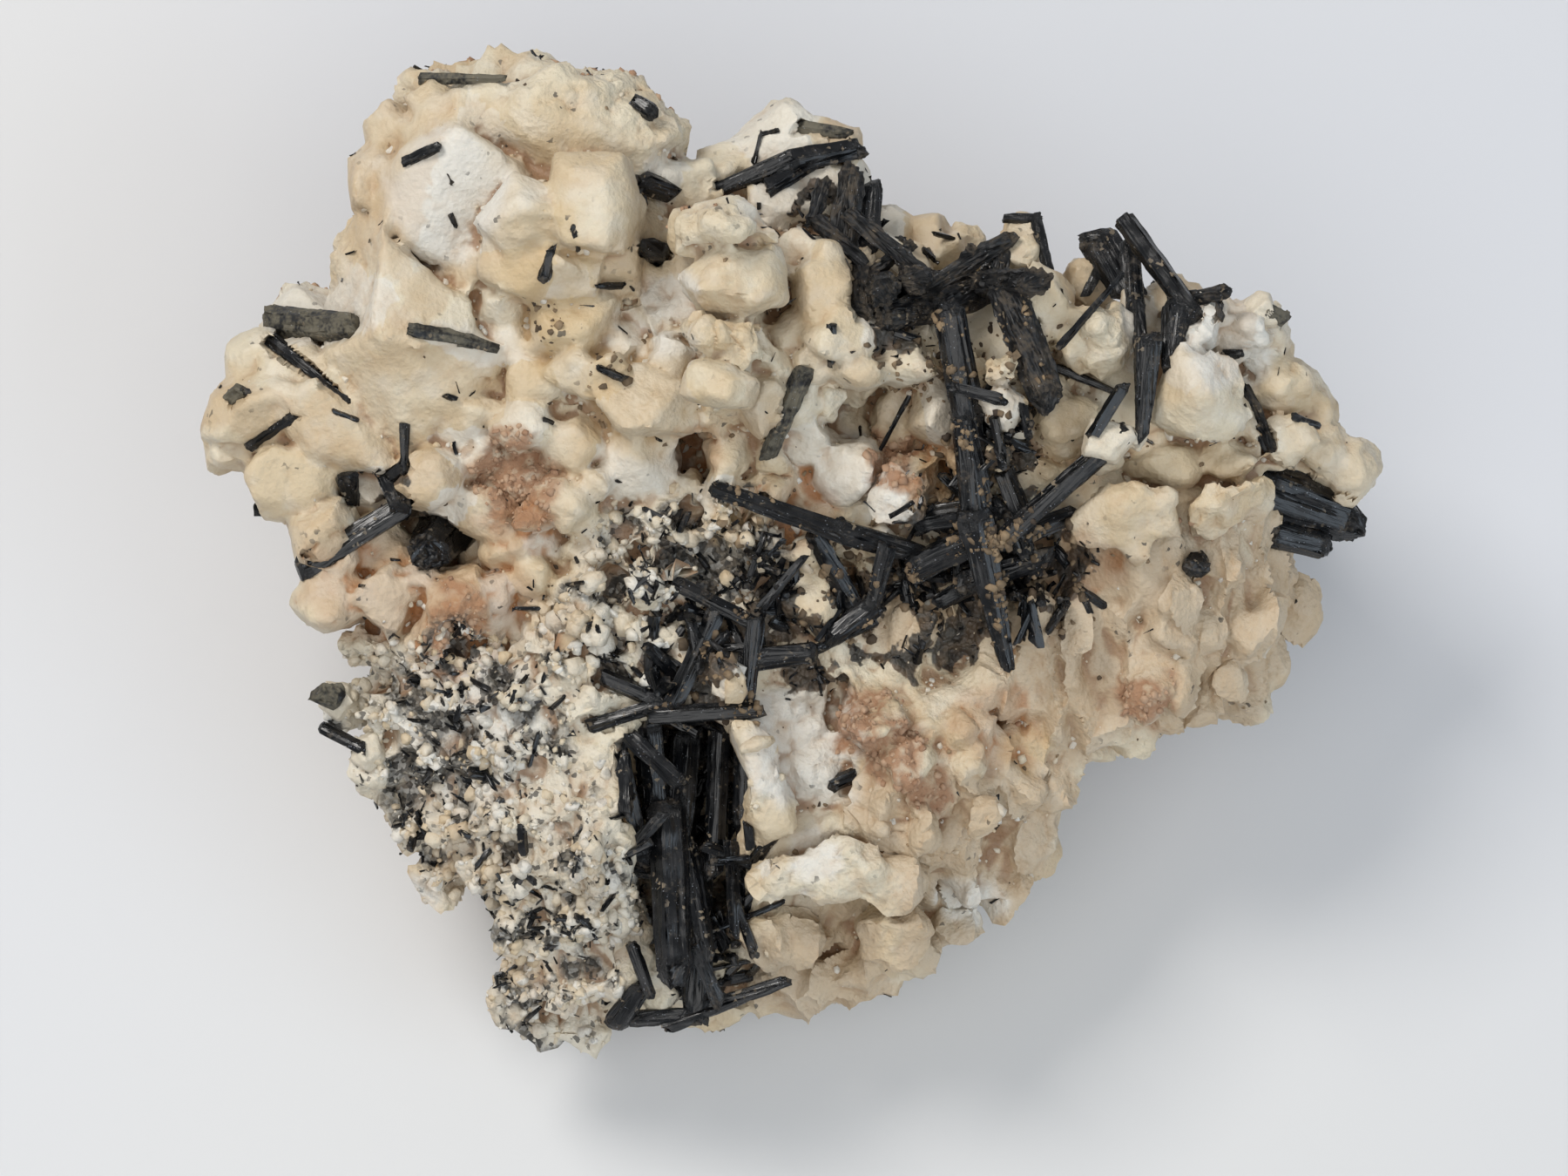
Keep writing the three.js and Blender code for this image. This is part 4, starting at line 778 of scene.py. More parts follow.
class SharedEffects:
    """The effects that several finishes use, each one node group."""

    def __init__(self) -> None:
        """Builds every group once."""
        self.relief = self._relief()
        self.stain = self._stain()
        self.dust = self._dust()
        self.striation = self._striation()

    @staticmethod
    def _group(
        name: str, inputs: dict[str, tuple[str, float | None]], outputs: dict[str, str]
    ) -> tuple[bpy.types.NodeTree, Bench, bpy.types.Node, bpy.types.Node]:
        """Starts a node group.

        Args:
            name: The group's name.
            inputs: Each input's kind and starting value.
            outputs: Each output's kind.

        Returns:
            The group, its bench, its input node and its output node.
        """
        tree = bpy.data.node_groups.new(name, "ShaderNodeTree")
        for label, (kind, start) in inputs.items():
            socket = tree.interface.new_socket(label, in_out="INPUT", socket_type=kind)
            if start is not None:
                socket.default_value = start
        for label, kind in outputs.items():
            tree.interface.new_socket(label, in_out="OUTPUT", socket_type=kind)
        bench = Bench(tree)
        return tree, bench, bench.node("NodeGroupInput"), bench.node("NodeGroupOutput")

    def _relief(self) -> bpy.types.NodeTree:
        """Builds the fine pitted relief of a broken mineral surface.

        Returns:
            The node group.
        """
        tree, bench, given, result = self._group(
            "mineral_relief",
            {"Place": ("NodeSocketVector", None), "Sugar": ("NodeSocketFloat", 0.0)},
            {"Height": "NodeSocketFloat", "Sparkle": "NodeSocketFloat"},
        )
        where = given.outputs["Place"]
        pits = bench.sums("MULTIPLY", bench.noise(where, 0.8, 6.0), 0.55)
        facets = bench.sums("MULTIPLY", bench.grains(where, 0.7), 0.25)
        fine = bench.sums("ADD", facets, bench.sums("MULTIPLY", bench.noise(where, 0.25, 2.0), 0.15))
        sugar = bench.sums("SUBTRACT", 0.8, bench.grains(where, 0.75))
        sugar = bench.sums("MULTIPLY", sugar, given.outputs["Sugar"])
        height = bench.sums("ADD", bench.sums("ADD", pits, fine), sugar)
        bench.feed(result.inputs["Height"], bench.sums("MULTIPLY", height, 0.7))
        glints = bench.between(bench.grains(where, 0.33), 0.16, 0.08)
        bench.feed(result.inputs["Sparkle"], glints)
        return tree

    def _stain(self) -> bpy.types.NodeTree:
        """Builds the iron stain that gathers in hollows, which also paints warm shade into them.

        Returns:
            The node group.
        """
        tree, bench, given, result = self._group(
            "iron_stain_and_shade",
            {
                "Place": ("NodeSocketVector", None),
                "Hollow": ("NodeSocketFloat", 0.0),
                "Spread": ("NodeSocketFloat", 0.5),
            },
            {"Mask": "NodeSocketFloat"},
        )
        where = given.outputs["Place"]
        broad = bench.between(bench.noise(where, 9.0, 4.0), 0.42, 0.66)
        near = bench.between(bench.noise(where, 1.6, 4.0), 0.35, 0.65)
        # Stain in the hollows, partly painted shade: they are warmed and darkened by how deep they lie
        hollow_stain_and_shade = bench.sums("MULTIPLY", given.outputs["Hollow"], bench.sums("ADD", near, 0.35))
        open_faces = bench.sums("MULTIPLY", broad, given.outputs["Spread"])
        open_faces = bench.sums("MULTIPLY", open_faces, near)
        bench.feed(result.inputs["Mask"], bench.sums("ADD", hollow_stain_and_shade, open_faces))
        return tree

    def _dust(self) -> bpy.types.NodeTree:
        """Builds the thin brown coat of clay and mica dust.

        Returns:
            The node group.
        """
        tree, bench, given, result = self._group(
            "clay_dust",
            {"Place": ("NodeSocketVector", None), "Cover": ("NodeSocketFloat", 0.3)},
            {"Mask": "NodeSocketFloat"},
        )
        where = given.outputs["Place"]
        clouds = bench.noise(where, 2.6, 5.0)
        specks = bench.noise(where, 0.5, 3.0)
        both = bench.sums("ADD", bench.sums("MULTIPLY", clouds, 0.6), bench.sums("MULTIPLY", specks, 0.4))
        lifted = bench.sums("ADD", both, bench.sums("MULTIPLY", given.outputs["Cover"], 0.4))
        bench.feed(result.inputs["Mask"], bench.between(lifted, 0.58, 0.78))
        return tree

    def _striation(self) -> bpy.types.NodeTree:
        """Builds the fine grooves that run along a prism.

        Returns:
            The node group.
        """
        tree, bench, given, result = self._group(
            "prism_grooves",
            {"Along": ("NodeSocketVector", None)},
            {"Height": "NodeSocketFloat"},
        )
        where = given.outputs["Along"]
        coarse = bench.sums("MULTIPLY", bench.noise(where, 0.32, 1.0), 0.6)
        fine = bench.sums("MULTIPLY", bench.noise(where, 0.13, 1.0), 0.4)
        bench.feed(result.inputs["Height"], bench.sums("ADD", coarse, fine))
        return tree


def new_material(name: str) -> tuple[bpy.types.Material, Bench, bpy.types.Node]:
    """Starts a material.

    Args:
        name: The finish's name.

    Returns:
        The material, its bench and its main shader.
    """
    material = bpy.data.materials.new(name)
    material.use_nodes = True
    material.node_tree.nodes.clear()
    bench = Bench(material.node_tree)
    shader = bench.node("ShaderNodeBsdfPrincipled")
    result = bench.node("ShaderNodeOutputMaterial")
    bench.feed(result.inputs["Surface"], shader.outputs[0])
    return material, bench, shader


Colour = tuple[float, float, float, float]


@dataclass(frozen=True)
class FeldsparFinish:
    """Cream feldspar with white, golden, pink and rusty parts, sugary grains, and painted shade in its
    crevices.
    """

    cream: Colour = (0.565, 0.455, 0.30, 1)
    ivory: Colour = (0.62, 0.55, 0.415, 1)
    milk: Colour = (0.67, 0.65, 0.60, 1)
    tan: Colour = (0.45, 0.30, 0.165, 1)
    rust: Colour = (0.36, 0.17, 0.07, 1)
    # Colour of the painted shade in crevices
    crevice_shade_colour: Colour = (0.24, 0.13, 0.065, 1)
    rose: Colour = (0.33, 0.175, 0.095, 1)
    dirt: Colour = (0.12, 0.07, 0.035, 1)
    gold: Colour = (0.50, 0.36, 0.18, 1)
    soot: Colour = (0.03, 0.028, 0.025, 1)
    felt: Colour = (0.235, 0.215, 0.175, 1)
    flank: Colour = (0.46, 0.35, 0.235, 1)
    waxiness: float = 0.05

    def make(self, effects: SharedEffects) -> bpy.types.Material:
        """Builds the material.

        Args:
            effects: The shared node groups.

        Returns:
            The material.
        """
        material, bench, shader = new_material("feldspar")
        where = bench.millimetres()
        granular, pink, gold = bench.layer("zones")
        white, rusty, hollow = bench.layer("tones")
        felt, shade, calm = bench.layer("marks")
        fluted, _, _ = bench.layer("flank")

        colour = bench.blend(bench.between(bench.noise(where, 11.0), 0.4, 0.62), self.cream, self.ivory)
        patches = bench.between(bench.noise(where, 4.0, 4.0), 0.47, 0.62)
        colour = bench.blend(bench.sums("MULTIPLY", patches, 0.2), colour, self.milk)
        colour = bench.blend(bench.sums("MULTIPLY", white, 0.8), colour, self.milk)
        colour = bench.blend(bench.sums("MULTIPLY", granular, 0.4), colour, self.milk)
        paler = bench.sums("MULTIPLY", bench.between(shade, 0.6, 0.8), calm)
        colour = bench.blend(bench.sums("MULTIPLY", paler, 0.6), colour, self.milk)
        warmer = bench.sums("MULTIPLY", bench.between(shade, 0.45, 0.1), calm)
        colour = bench.blend(bench.sums("MULTIPLY", warmer, 0.3), colour, self.tan)

        colour = bench.blend(bench.sums("MULTIPLY", fluted, 0.7), colour, self.flank)

        stain = bench.node("ShaderNodeGroup", node_tree=effects.stain)
        bench.feed(stain.inputs["Place"], where)
        bench.feed(stain.inputs["Hollow"], hollow)
        stain.inputs["Spread"].default_value = 0.55
        # Iron stain, partly painted shade in the hollows
        hollow_stain_and_shade = bench.sums("MULTIPLY", stain.outputs["Mask"], 0.6)
        colour = bench.blend(hollow_stain_and_shade, colour, self.tan)
        # Painted shade: crevices and hollows are darkened towards deep brown by how deep they lie
        painted_crevice_shade = bench.sums("MULTIPLY", bench.between(hollow, 0.3, 0.9), 0.82)
        colour = bench.blend(painted_crevice_shade, colour, self.crevice_shade_colour)
        colour = bench.blend(bench.sums("MULTIPLY", gold, 0.52), colour, self.gold)
        mottled = bench.between(bench.noise(where, 1.5, 4.0), 0.3, 0.55)
        mottled = bench.sums("ADD", bench.sums("MULTIPLY", mottled, 0.6), 0.3)
        colour = bench.blend(bench.sums("MULTIPLY", pink, mottled), colour, self.rose)
        deep = bench.sums("MULTIPLY", rusty, bench.sums("ADD", hollow, 0.35))
        colour = bench.blend(deep, colour, self.rust)

        dust = bench.node("ShaderNodeGroup", node_tree=effects.dust)
        bench.feed(dust.inputs["Place"], where)
        bench.feed(dust.inputs["Cover"], felt)
        sooty = bench.sums("MULTIPLY", dust.outputs["Mask"], felt)
        stirred = bench.stirred(where, 0.8, 0.6)
        single = bench.shades(stirred, 0.62)
        sugary = bench.sums("MULTIPLY", felt, granular)
        colour = bench.blend(bench.sums("MULTIPLY", sugary, 0.8), colour, self.felt)
        salt = bench.sums("MULTIPLY", bench.between(single, 0.72, 0.78), sugary)
        colour = bench.blend(bench.sums("MULTIPLY", salt, 0.75), colour, self.milk)
        dirty = bench.sums("SUBTRACT", felt, granular)
        dirty = bench.sums("ADD", dirty, bench.sums("MULTIPLY", bench.noise(where, 0.9, 4.0), 0.7))
        dirty = bench.between(dirty, 0.72, 0.88)
        earth = bench.blend(bench.between(bench.noise(where, 2.4, 4.0), 0.42, 0.6), self.dirt, self.soot)
        colour = bench.blend(bench.sums("MULTIPLY", dirty, 0.88), colour, earth)
        colour = bench.blend(bench.sums("MULTIPLY", sooty, 0.55), colour, self.soot)
        pepper = bench.sums("ADD", bench.sums("MULTIPLY", bench.between(single, 0.13, 0.08), granular),
                            bench.sums("MULTIPLY", bench.between(single, 0.42, 0.36), sugary))
        thinly = bench.between(bench.noise(where, 6.0, 2.0), 0.52, 0.7)
        scattered = bench.sums("MULTIPLY", bench.between(bench.shades(stirred, 0.5), 0.03, 0.02), thinly)
        dark = bench.sums("MULTIPLY", bench.sums("ADD", pepper, scattered), 0.8)
        colour = bench.blend(dark, colour, self.soot)
        bench.feed(shader.inputs["Base Color"], colour)

        relief = bench.node("ShaderNodeGroup", node_tree=effects.relief)
        bench.feed(relief.inputs["Place"], where)
        bench.feed(relief.inputs["Sugar"], felt)
        bump = bench.node("ShaderNodeBump")
        bench.feed(bump.inputs["Height"], relief.outputs["Height"])
        bump.inputs["Distance"].default_value = 0.8 * MM
        bench.feed(bump.inputs["Strength"], bench.sums("SUBTRACT", 0.9, bench.sums("MULTIPLY", calm, 0.3)))
        bench.feed(shader.inputs["Normal"], bump.outputs["Normal"])

        rough = bench.sums("SUBTRACT", 0.54, bench.sums("MULTIPLY", relief.outputs["Sparkle"], 0.35))
        bench.feed(shader.inputs["Roughness"], bench.sums("ADD", rough, bench.sums("MULTIPLY", pink, 0.3)))
        shader.inputs["Subsurface Weight"].default_value = self.waxiness
        shader.inputs["Subsurface Scale"].default_value = 0.5 * MM
        shader.inputs["Subsurface Radius"].default_value = (1.0, 0.8, 0.55)
        return material


@dataclass(frozen=True)
class GrainFinish:
    """Loose-looking sugary grains, each with its own shade."""

    name: str
    pale: Colour
    deep: Colour
    roughness: float = 0.5

    def make(self, effects: SharedEffects) -> bpy.types.Material:
        """Builds the material.

        Args:
            effects: The shared node groups.

        Returns:
            The material.
        """
        material, bench, shader = new_material(self.name)
        where = bench.millimetres()
        shade, _, _ = bench.layer("tones")
        colour = bench.blend(shade, self.pale, self.deep)
        clouds = bench.between(bench.noise(where, 0.8, 3.0), 0.4, 0.7)
        colour = bench.blend(bench.sums("MULTIPLY", clouds, 0.35), colour, self.deep)
        bench.feed(shader.inputs["Base Color"], colour)
        relief = bench.node("ShaderNodeGroup", node_tree=effects.relief)
        bench.feed(relief.inputs["Place"], where)
        bump = bench.node("ShaderNodeBump")
        bench.feed(bump.inputs["Height"], relief.outputs["Height"])
        bump.inputs["Distance"].default_value = 0.25 * MM
        bump.inputs["Strength"].default_value = 0.5
        bench.feed(shader.inputs["Normal"], bump.outputs["Normal"])
        shader.inputs["Roughness"].default_value = self.roughness
        return material


@dataclass(frozen=True)
class SchorlFinish:
    """Black tourmaline, glossy along its grooves, with painted glints, under more or less brown crust."""

    name: str
    crust_cover: float
    black: Colour = (0.004, 0.0045, 0.0055, 1)
    grey: Colour = (0.014, 0.014, 0.015, 1)
    crumb: Colour = (0.24, 0.19, 0.13, 1)
    crust: Colour = (0.085, 0.068, 0.05, 1)
    glint: Colour = (0.32, 0.34, 0.38, 1)
    gloss: float = 0.17

    def make(self, effects: SharedEffects) -> bpy.types.Material:
        """Builds the material.

        Args:
            effects: The shared node groups.

        Returns:
            The material.
        """
        material, bench, shader = new_material(self.name)
        where = bench.millimetres()
        along = bench.node("ShaderNodeAttribute", attribute_name="along").outputs["Vector"]
        broken, _, _ = bench.layer("tones")

        worn = bench.between(bench.noise(where, 2.2, 4.0), 0.45, 0.7)
        colour = bench.blend(worn, self.black, self.grey)
        dust = bench.node("ShaderNodeGroup", node_tree=effects.dust)
        bench.feed(dust.inputs["Place"], where)
        cover = bench.sums("ADD", bench.sums("MULTIPLY", broken, 0.25), self.crust_cover)
        bench.feed(dust.inputs["Cover"], cover)
        dusty = bench.sums("MULTIPLY", dust.outputs["Mask"], 0.85)
        colour = bench.blend(dusty, colour, self.crust)
        # Painted glints: small pale blue-grey spots stand in for highlights on the black faces
        sparse = bench.between(bench.noise(where, 1.3, 2.0), 0.52, 0.62)
        glints = bench.sums("MULTIPLY", bench.between(bench.grains(where, 0.42), 0.2, 0.12), sparse)
        colour = bench.blend(bench.sums("MULTIPLY", glints, 0.6), colour, self.glint)
        crumbs = bench.between(bench.shades(bench.stirred(where, 0.6, 0.5), 0.4), 0.07, 0.05)
        crumbs = bench.sums("MULTIPLY", crumbs, bench.between(bench.noise(where, 4.0, 2.0), 0.5, 0.66))
        colour = bench.blend(bench.sums("MULTIPLY", crumbs, 0.8), colour, self.crumb)
        bench.feed(shader.inputs["Base Color"], colour)

        grooves = bench.node("ShaderNodeGroup", node_tree=effects.striation)
        bench.feed(grooves.inputs["Along"], along)
        bump = bench.node("ShaderNodeBump")
        bench.feed(bump.inputs["Height"], grooves.outputs["Height"])
        bump.inputs["Distance"].default_value = 0.13 * MM
        bump.inputs["Strength"].default_value = 0.8
        bench.feed(shader.inputs["Normal"], bump.outputs["Normal"])

        rough = bench.sums("ADD", self.gloss, bench.sums("MULTIPLY", worn, 0.18))
        rough = bench.sums("ADD", rough, bench.sums("MULTIPLY", broken, 0.15))
        rough = bench.sums("ADD", rough, bench.sums("MULTIPLY", bench.sums("ADD", dusty, crumbs), 0.5))
        bench.feed(shader.inputs["Roughness"], rough)
        shader.inputs["IOR"].default_value = 1.62
        shader.inputs["Specular IOR Level"].default_value = 0.32
        return material


@dataclass(frozen=True)
class TableFinish:
    """The pale sheet that the specimen lies on."""

    near: Colour = (0.60, 0.61, 0.64, 1)
    far: Colour = (0.63, 0.63, 0.63, 1)

    def make(self) -> bpy.types.Material:
        """Builds the material.

        Returns:
            The material.
        """
        material, bench, shader = new_material("pale_sheet")
        where = bench.millimetres()
        clouds = bench.between(bench.noise(where, 260.0, 1.0), 0.35, 0.65)
        bench.feed(shader.inputs["Base Color"], bench.blend(clouds, self.near, self.far))
        shader.inputs["Roughness"].default_value = 0.55
        return material


@dataclass
class FeldsparCrystals:
    """Flat-faced feldspar crystals that stand shoulder to shoulder on the face."""

    proud: float = 1.2
    lowest: float = -1.0
    growth: float = 1.02
    corners: float = 1.28
    shapes: int = 5
    seed: int = 19

    def cut(self, rng: np.random.Generator, ways: np.ndarray) -> np.ndarray:
        """Cuts one crystal of size one with flat faces.

        Args:
            rng: Where its faces are drawn from.
            ways: The directions from its middle to its vertices.

        Returns:
            How far out each vertex lies.
        """
        edge = rng.choice([30.0, 60.0, 110.0])
        top = unit(np.array([rng.normal() * 0.32, rng.normal() * 0.32, 1.0]))
        faces = [(top, rng.uniform(0.56, 0.7))]
        sides = int(rng.integers(4, 7))
        start = rng.uniform(0, math.tau)
        for side in range(sides):
            turn = start + (side + rng.uniform(-0.25, 0.25)) * math.tau / sides
            flat = np.array([math.cos(turn), math.sin(turn), 0.0])
            faces.append((unit(flat + [0, 0, rng.uniform(0.0, 0.3)]), rng.uniform(0.82, 0.98)))
            if rng.random() < 0.6:
                faces.append((unit(flat + [0, 0, rng.uniform(0.7, 1.2)]), rng.uniform(0.74, 0.86)))
        total = np.full(len(ways), self.corners ** -edge)
        for way, far in faces:
            total += (np.maximum(ways @ way, 0) / far) ** edge
        return total ** (-1 / edge)

    def grow(self, ground: Ground) -> tuple[np.ndarray, np.ndarray]:
        """Makes every crystal in its place.

        Args:
            ground: The rock that they stand on.

        Returns:
            All their vertices in the row frame, in millimetres, and their triangles.
        """
        ways, sides = ball(self.shapes)
        rng = np.random.default_rng(self.seed)
        places, triangles = [], []
        for right, up, half_width, half_height, turn in CRYSTALS:
            shape = ways * self.cut(rng, ways)[:, None]
            level = ground.height(right, up)
            if level is None:
                continue
            half_depth = 0.45 * (half_width + half_height) + 1.0
            shape = shape * np.array([half_width, half_height, half_depth]) * self.growth
            angle = math.radians(turn + rng.uniform(-10, 10))
            cos, sin = math.cos(angle), math.sin(angle)
            shape = shape @ np.array([[cos, sin, 0.0], [-sin, cos, 0.0], [0.0, 0.0, 1.0]])
            top = max(level, self.lowest) + self.proud
            middle = np.array([right, up, top - shape[:, 2].max()])
            triangles.append(sides + len(ways) * len(places))
            places.append(ground.face.to_row(shape + middle))
        return np.vstack(places), np.vstack(triangles)

    @staticmethod
    def shares(on_face: np.ndarray) -> tuple[np.ndarray, np.ndarray]:
        """Measures which places belong to a crystal.

        Args:
            on_face: Right, up and outward of each place.

        Returns:
            How much each place belongs to a crystal, and the shade of the nearest crystal.
        """
        rng = np.random.default_rng(3)
        nearest = np.full(len(on_face), 9.0)
        shade = np.full(len(on_face), 0.5)
        for right, up, half_width, half_height, turn in CRYSTALS:
            tone = rng.random()
            away = on_face[:, :2] - (right, up)
            cos, sin = math.cos(math.radians(turn)), math.sin(math.radians(turn))
            along = (away[:, 0] * cos + away[:, 1] * sin) / half_width
            across = (away[:, 1] * cos - away[:, 0] * sin) / half_height
            far = np.hypot(along, across)
            shade = np.where(far < nearest, tone, shade)
            nearest = np.minimum(nearest, far)
        return 1 - step_between(1.1, 1.5, nearest), shade


@dataclass
class FeldsparRock:
    """The feldspar that everything grows from: blocky crests, rounded lumps, sugary and crumbly patches."""

    voxel: float = 0.42
    most_triangles: int = 195_000
    soft_rounds: int = 4
    crisp_rounds: int = 1
    sink: float = 2.0
    reach: float = 1.1
    swell: float = 0.4
    ripple: float = 0.22
    sharp: float = 48.0
    seed: int = 7

    def build(
        self, face: PhotoFace, prisms: BVHTree, material: bpy.types.Material
    ) -> bpy.types.Object:
        """Makes the dressed rock.

        Args:
            face: The face of the specimen.
            prisms: All prisms together, which the rock closes up to.
            material: The feldspar's finish.

        Returns:
            The piece.
        """
        noise = StoneNoise(self.seed)
        ground = Ground(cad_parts["feldspar_matrix"], face)
        surface = Surface(self._overgrown(ground, prisms, noise))
        surface.relax(self.crisp_rounds, 0.5)
        masks = self._masks(surface, face, noise)
        near = self._nearness(surface, prisms)
        self._bare_prisms(surface, ground, near, prisms)
        surface.places = self._worked(surface, face, masks, noise, near)
        self._close_sockets(surface, prisms)
        self._flatten_base(surface)
        mesh = surface.mesh
        put_places(mesh, surface.places)
        hidden = (surface.normals() @ face.outward() < -0.3) | (face.from_row(surface.places)[:, 2] < -30)
        lighter = thinned(mesh, self.most_triangles, hidden)
        final = Surface(lighter)
        masks = self._masks(final, face, noise)
        self._store(final, masks)
        felt = self._felt(final.places, masks[Zone.GRANULAR], masks[Zone.SOOT], noise)
        owned, shade = FeldsparCrystals.shares(face.from_row(final.places))
        calm = np.maximum(owned, masks[Zone.CRISP]) * (1 - masks[Zone.GRANULAR]) * (1 - masks[Zone.PINK])
        paint(lighter, "marks", [felt, shade, calm])
        paint(lighter, "flank", [masks[Zone.FLUTES] * (1 - masks[Zone.WHITE])])
        lighter.shade_smooth()
        lighter.set_sharp_from_angle(angle=math.radians(self.sharp))
        piece = show("feldspar", lighter, material)
        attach(piece, "root")
        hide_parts("feldspar_matrix")
        return piece

    def _overgrown(self, ground: Ground, prisms: BVHTree, noise: StoneNoise) -> bpy.types.Mesh:
        """Softens the rock, sinks it a little where crystals stand, and joins the crystals to it.

        Args:
            ground: The rock as it is.
            prisms: All prisms together, near which the rock stays.
            noise: The field that frays the zones' edges.

        Returns:
            The joined shape.
        """
        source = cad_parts["feldspar_matrix"].data
        core = Surface(voxel_copy(source, 1.25 * self.voxel))
        masks = self._masks(core, ground.face, noise)
        crisp = masks[Zone.CRISP]
        core.relax(self.crisp_rounds, 0.6)
        core.relax(self.soft_rounds, 0.5 * (1 - 0.95 * crisp))
        on_face = ground.face.from_row(core.places)
        owned, _ = FeldsparCrystals.shares(on_face)
        away = 1 - self._nearness(core, prisms)
        sunk = owned * (1 - crisp) * away * step_between(-24, -14, on_face[:, 2])
        core.places = core.places - core.normals() * (self.sink * sunk)[:, None]
        put_places(core.mesh, core.places)
        grown = FeldsparCrystals().grow(ground)
        crystals = mesh_from("crystals", *grown)
        work = bmesh.new()
        work.from_mesh(core.mesh)
        work.from_mesh(crystals)
        joined = bpy.data.meshes.new("joined")
        work.to_mesh(joined)
        work.free()
        return voxel_copy(joined, self.voxel)

    @staticmethod
    def _bare_prisms(surface: Surface, ground: Ground, near: np.ndarray, prisms: BVHTree) -> None:
        """Takes away the feldspar of a crystal that would lie over a prism.

        Args:
            surface: The rock with its crystals.
            ground: The rock without them.
            near: How near each vertex is to a prism.
            prisms: All prisms together.
        """
        face = ground.face
        inwards = -Vector(face.outward())
        on_face = face.from_row(surface.places)
        for index in np.flatnonzero(near > 0.0):
            if prisms.ray_cast(Vector(surface.places[index] * MM), inwards, 5 * MM)[0] is None:
                continue
            level = ground.height(on_face[index, 0], on_face[index, 1])
            if level is not None and level < on_face[index, 2]:
                on_face[index, 2] = level
                surface.places[index] = face.to_row(on_face[index])

    @staticmethod
    def _masks(surface: Surface, face: PhotoFace, noise: StoneNoise) -> dict[Zone, np.ndarray]:
        """Measures how much of each kind of surface every vertex has.

        Args:
            surface: The rock's surface.
            face: The face of the specimen.
            noise: The field that frays the zones' edges.

        Returns:
            A value of 0 to 1 a vertex for each kind.
        """
        points = surface.places
        on_face = face.from_row(points)
        facing = surface.normals() @ face.outward()
        seen = step_between(-0.35, 0.05, facing) * step_between(-34, -22, on_face[:, 2])
        fray = 2.4 * noise.smooth(points, 5.0) + 1.2 * noise.smooth(points, 1.9)
        masks = {}
        for index, (zone, discs) in enumerate(ZONES.items()):
            mask = np.zeros(len(points))
            for right, up, radius in discs:
                far = np.hypot(on_face[:, 0] - right, on_face[:, 1] - up) + fray
                mask = np.maximum(mask, 1 - step_between(0.72 * radius, 1.12 * radius, far))
            back = step_between(0.32, 0.5, noise.smooth(points + 40.0 * index, 17.0))
            masks[zone] = np.maximum(mask * seen, back * (1 - seen))
        return masks

    @staticmethod
    def _nearness(surface: Surface, prisms: BVHTree) -> np.ndarray:
        """Measures how near each vertex is to a prism.

        Args:
            surface: The softened rock.
            prisms: All prisms together.

        Returns:
            1 at a prism, falling to 0 at 3 mm from it.
        """
        reach = 3.0
        near = np.zeros(len(surface.places))
        for index, place in enumerate(surface.places * MM):
            far = prisms.find_nearest(Vector(place), reach * MM)[3]
            if far is not None:
                near[index] = 1 - far / MM / reach
        return near

    def _worked(
        self,
        surface: Surface,
        face: PhotoFace,
        masks: dict[Zone, np.ndarray],
        noise: StoneNoise,
        near: np.ndarray,
    ) -> np.ndarray:
        """Raises the rock's swells, grains and crumbs.

        Args:
            surface: The softened rock.
            face: The face of the specimen.
            masks: The kinds of surface.
            noise: The field to use.
            near: How near each vertex is to a prism.

        Returns:
            The new places.
        """
        points = surface.places
        normals = surface.normals()
        granular, pink, crisp = masks[Zone.GRANULAR], masks[Zone.PINK], masks[Zone.CRISP]
        warp = np.stack([noise.smooth(points + shift, 6.0) for shift in (11.0, 37.0, 71.0)], axis=1)
        bent = points + 1.2 * warp
        owned, _ = FeldsparCrystals.shares(face.from_row(points))
        rough = step_between(14.0, 24.0, face.from_row(points)[:, 0])
        calm = 1 - np.maximum(0.75 * owned * (1 - 0.4 * rough), 0.85 * crisp) * (1 - granular)
        ridges = step_between(0.02, 0.12, -surface.hollow(2))
        plain = (1 - granular) * (1 - pink) * calm
        height = self.swell * noise.smooth(bent, 7.0) * calm
        height += self.ripple * noise.smooth(bent, 2.8) * (0.35 + 0.65 * calm)
        height += 0.18 * noise.smooth(points, 1.25) * (0.4 + 0.6 * calm)
        aside = step_between(0.3, -0.1, normals @ face.outward()) * (1 - near)
        fluted = np.maximum(masks[Zone.FLUTES], aside)
        whole = 1 - 0.92 * fluted
        height += noise.blocks(points + 60.0, 1.7, 0.22 * (1 - granular) * (1 - pink) * whole) - 0.08 * whole
        height -= 0.9 * ridges * np.clip(noise.smooth(points, 1.7) - 0.04, 0, 1)
        height += noise.blocks(bent, 5.4, 1.5 * plain * whole) - 0.5 * calm * whole
        height += noise.blocks(bent + 20.0, 2.5, 0.7 * plain * whole) - 0.25 * calm * whole
        felt = self._felt(points, granular, masks[Zone.SOOT], noise)
        lumps, _ = noise.cells(bent, 3.1)
        knobs, _ = noise.cells(bent + 13.0, 1.35)
        lumpy = (1 - 0.7 * felt) * (0.6 + 0.5 * noise.smooth(points, 4.0))
        height += granular * (lumpy * (1.7 * np.sqrt(lumps) + 0.7 * np.sqrt(knobs)) - 1.0)
        height += 0.4 * felt * noise.smooth(points, 1.1)
        crumbs, _ = noise.cells(bent + 50.0, 1.15)
        height += pink * (0.5 * crumbs + 0.5 + 0.7 * noise.smooth(points, 2.4))
        drawn = (bent @ face.turn()) / (1.0, 2.6, 1.3)
        scoops, _ = noise.cells(drawn, 5.6)
        flutes = 1 - 2.6 * np.abs(noise.smooth(drawn + 30.0, 3.2))
        height += fluted * plain * (1.2 - 2.1 * np.sqrt(scoops) + 0.4 * np.clip(flutes, -1, 1))
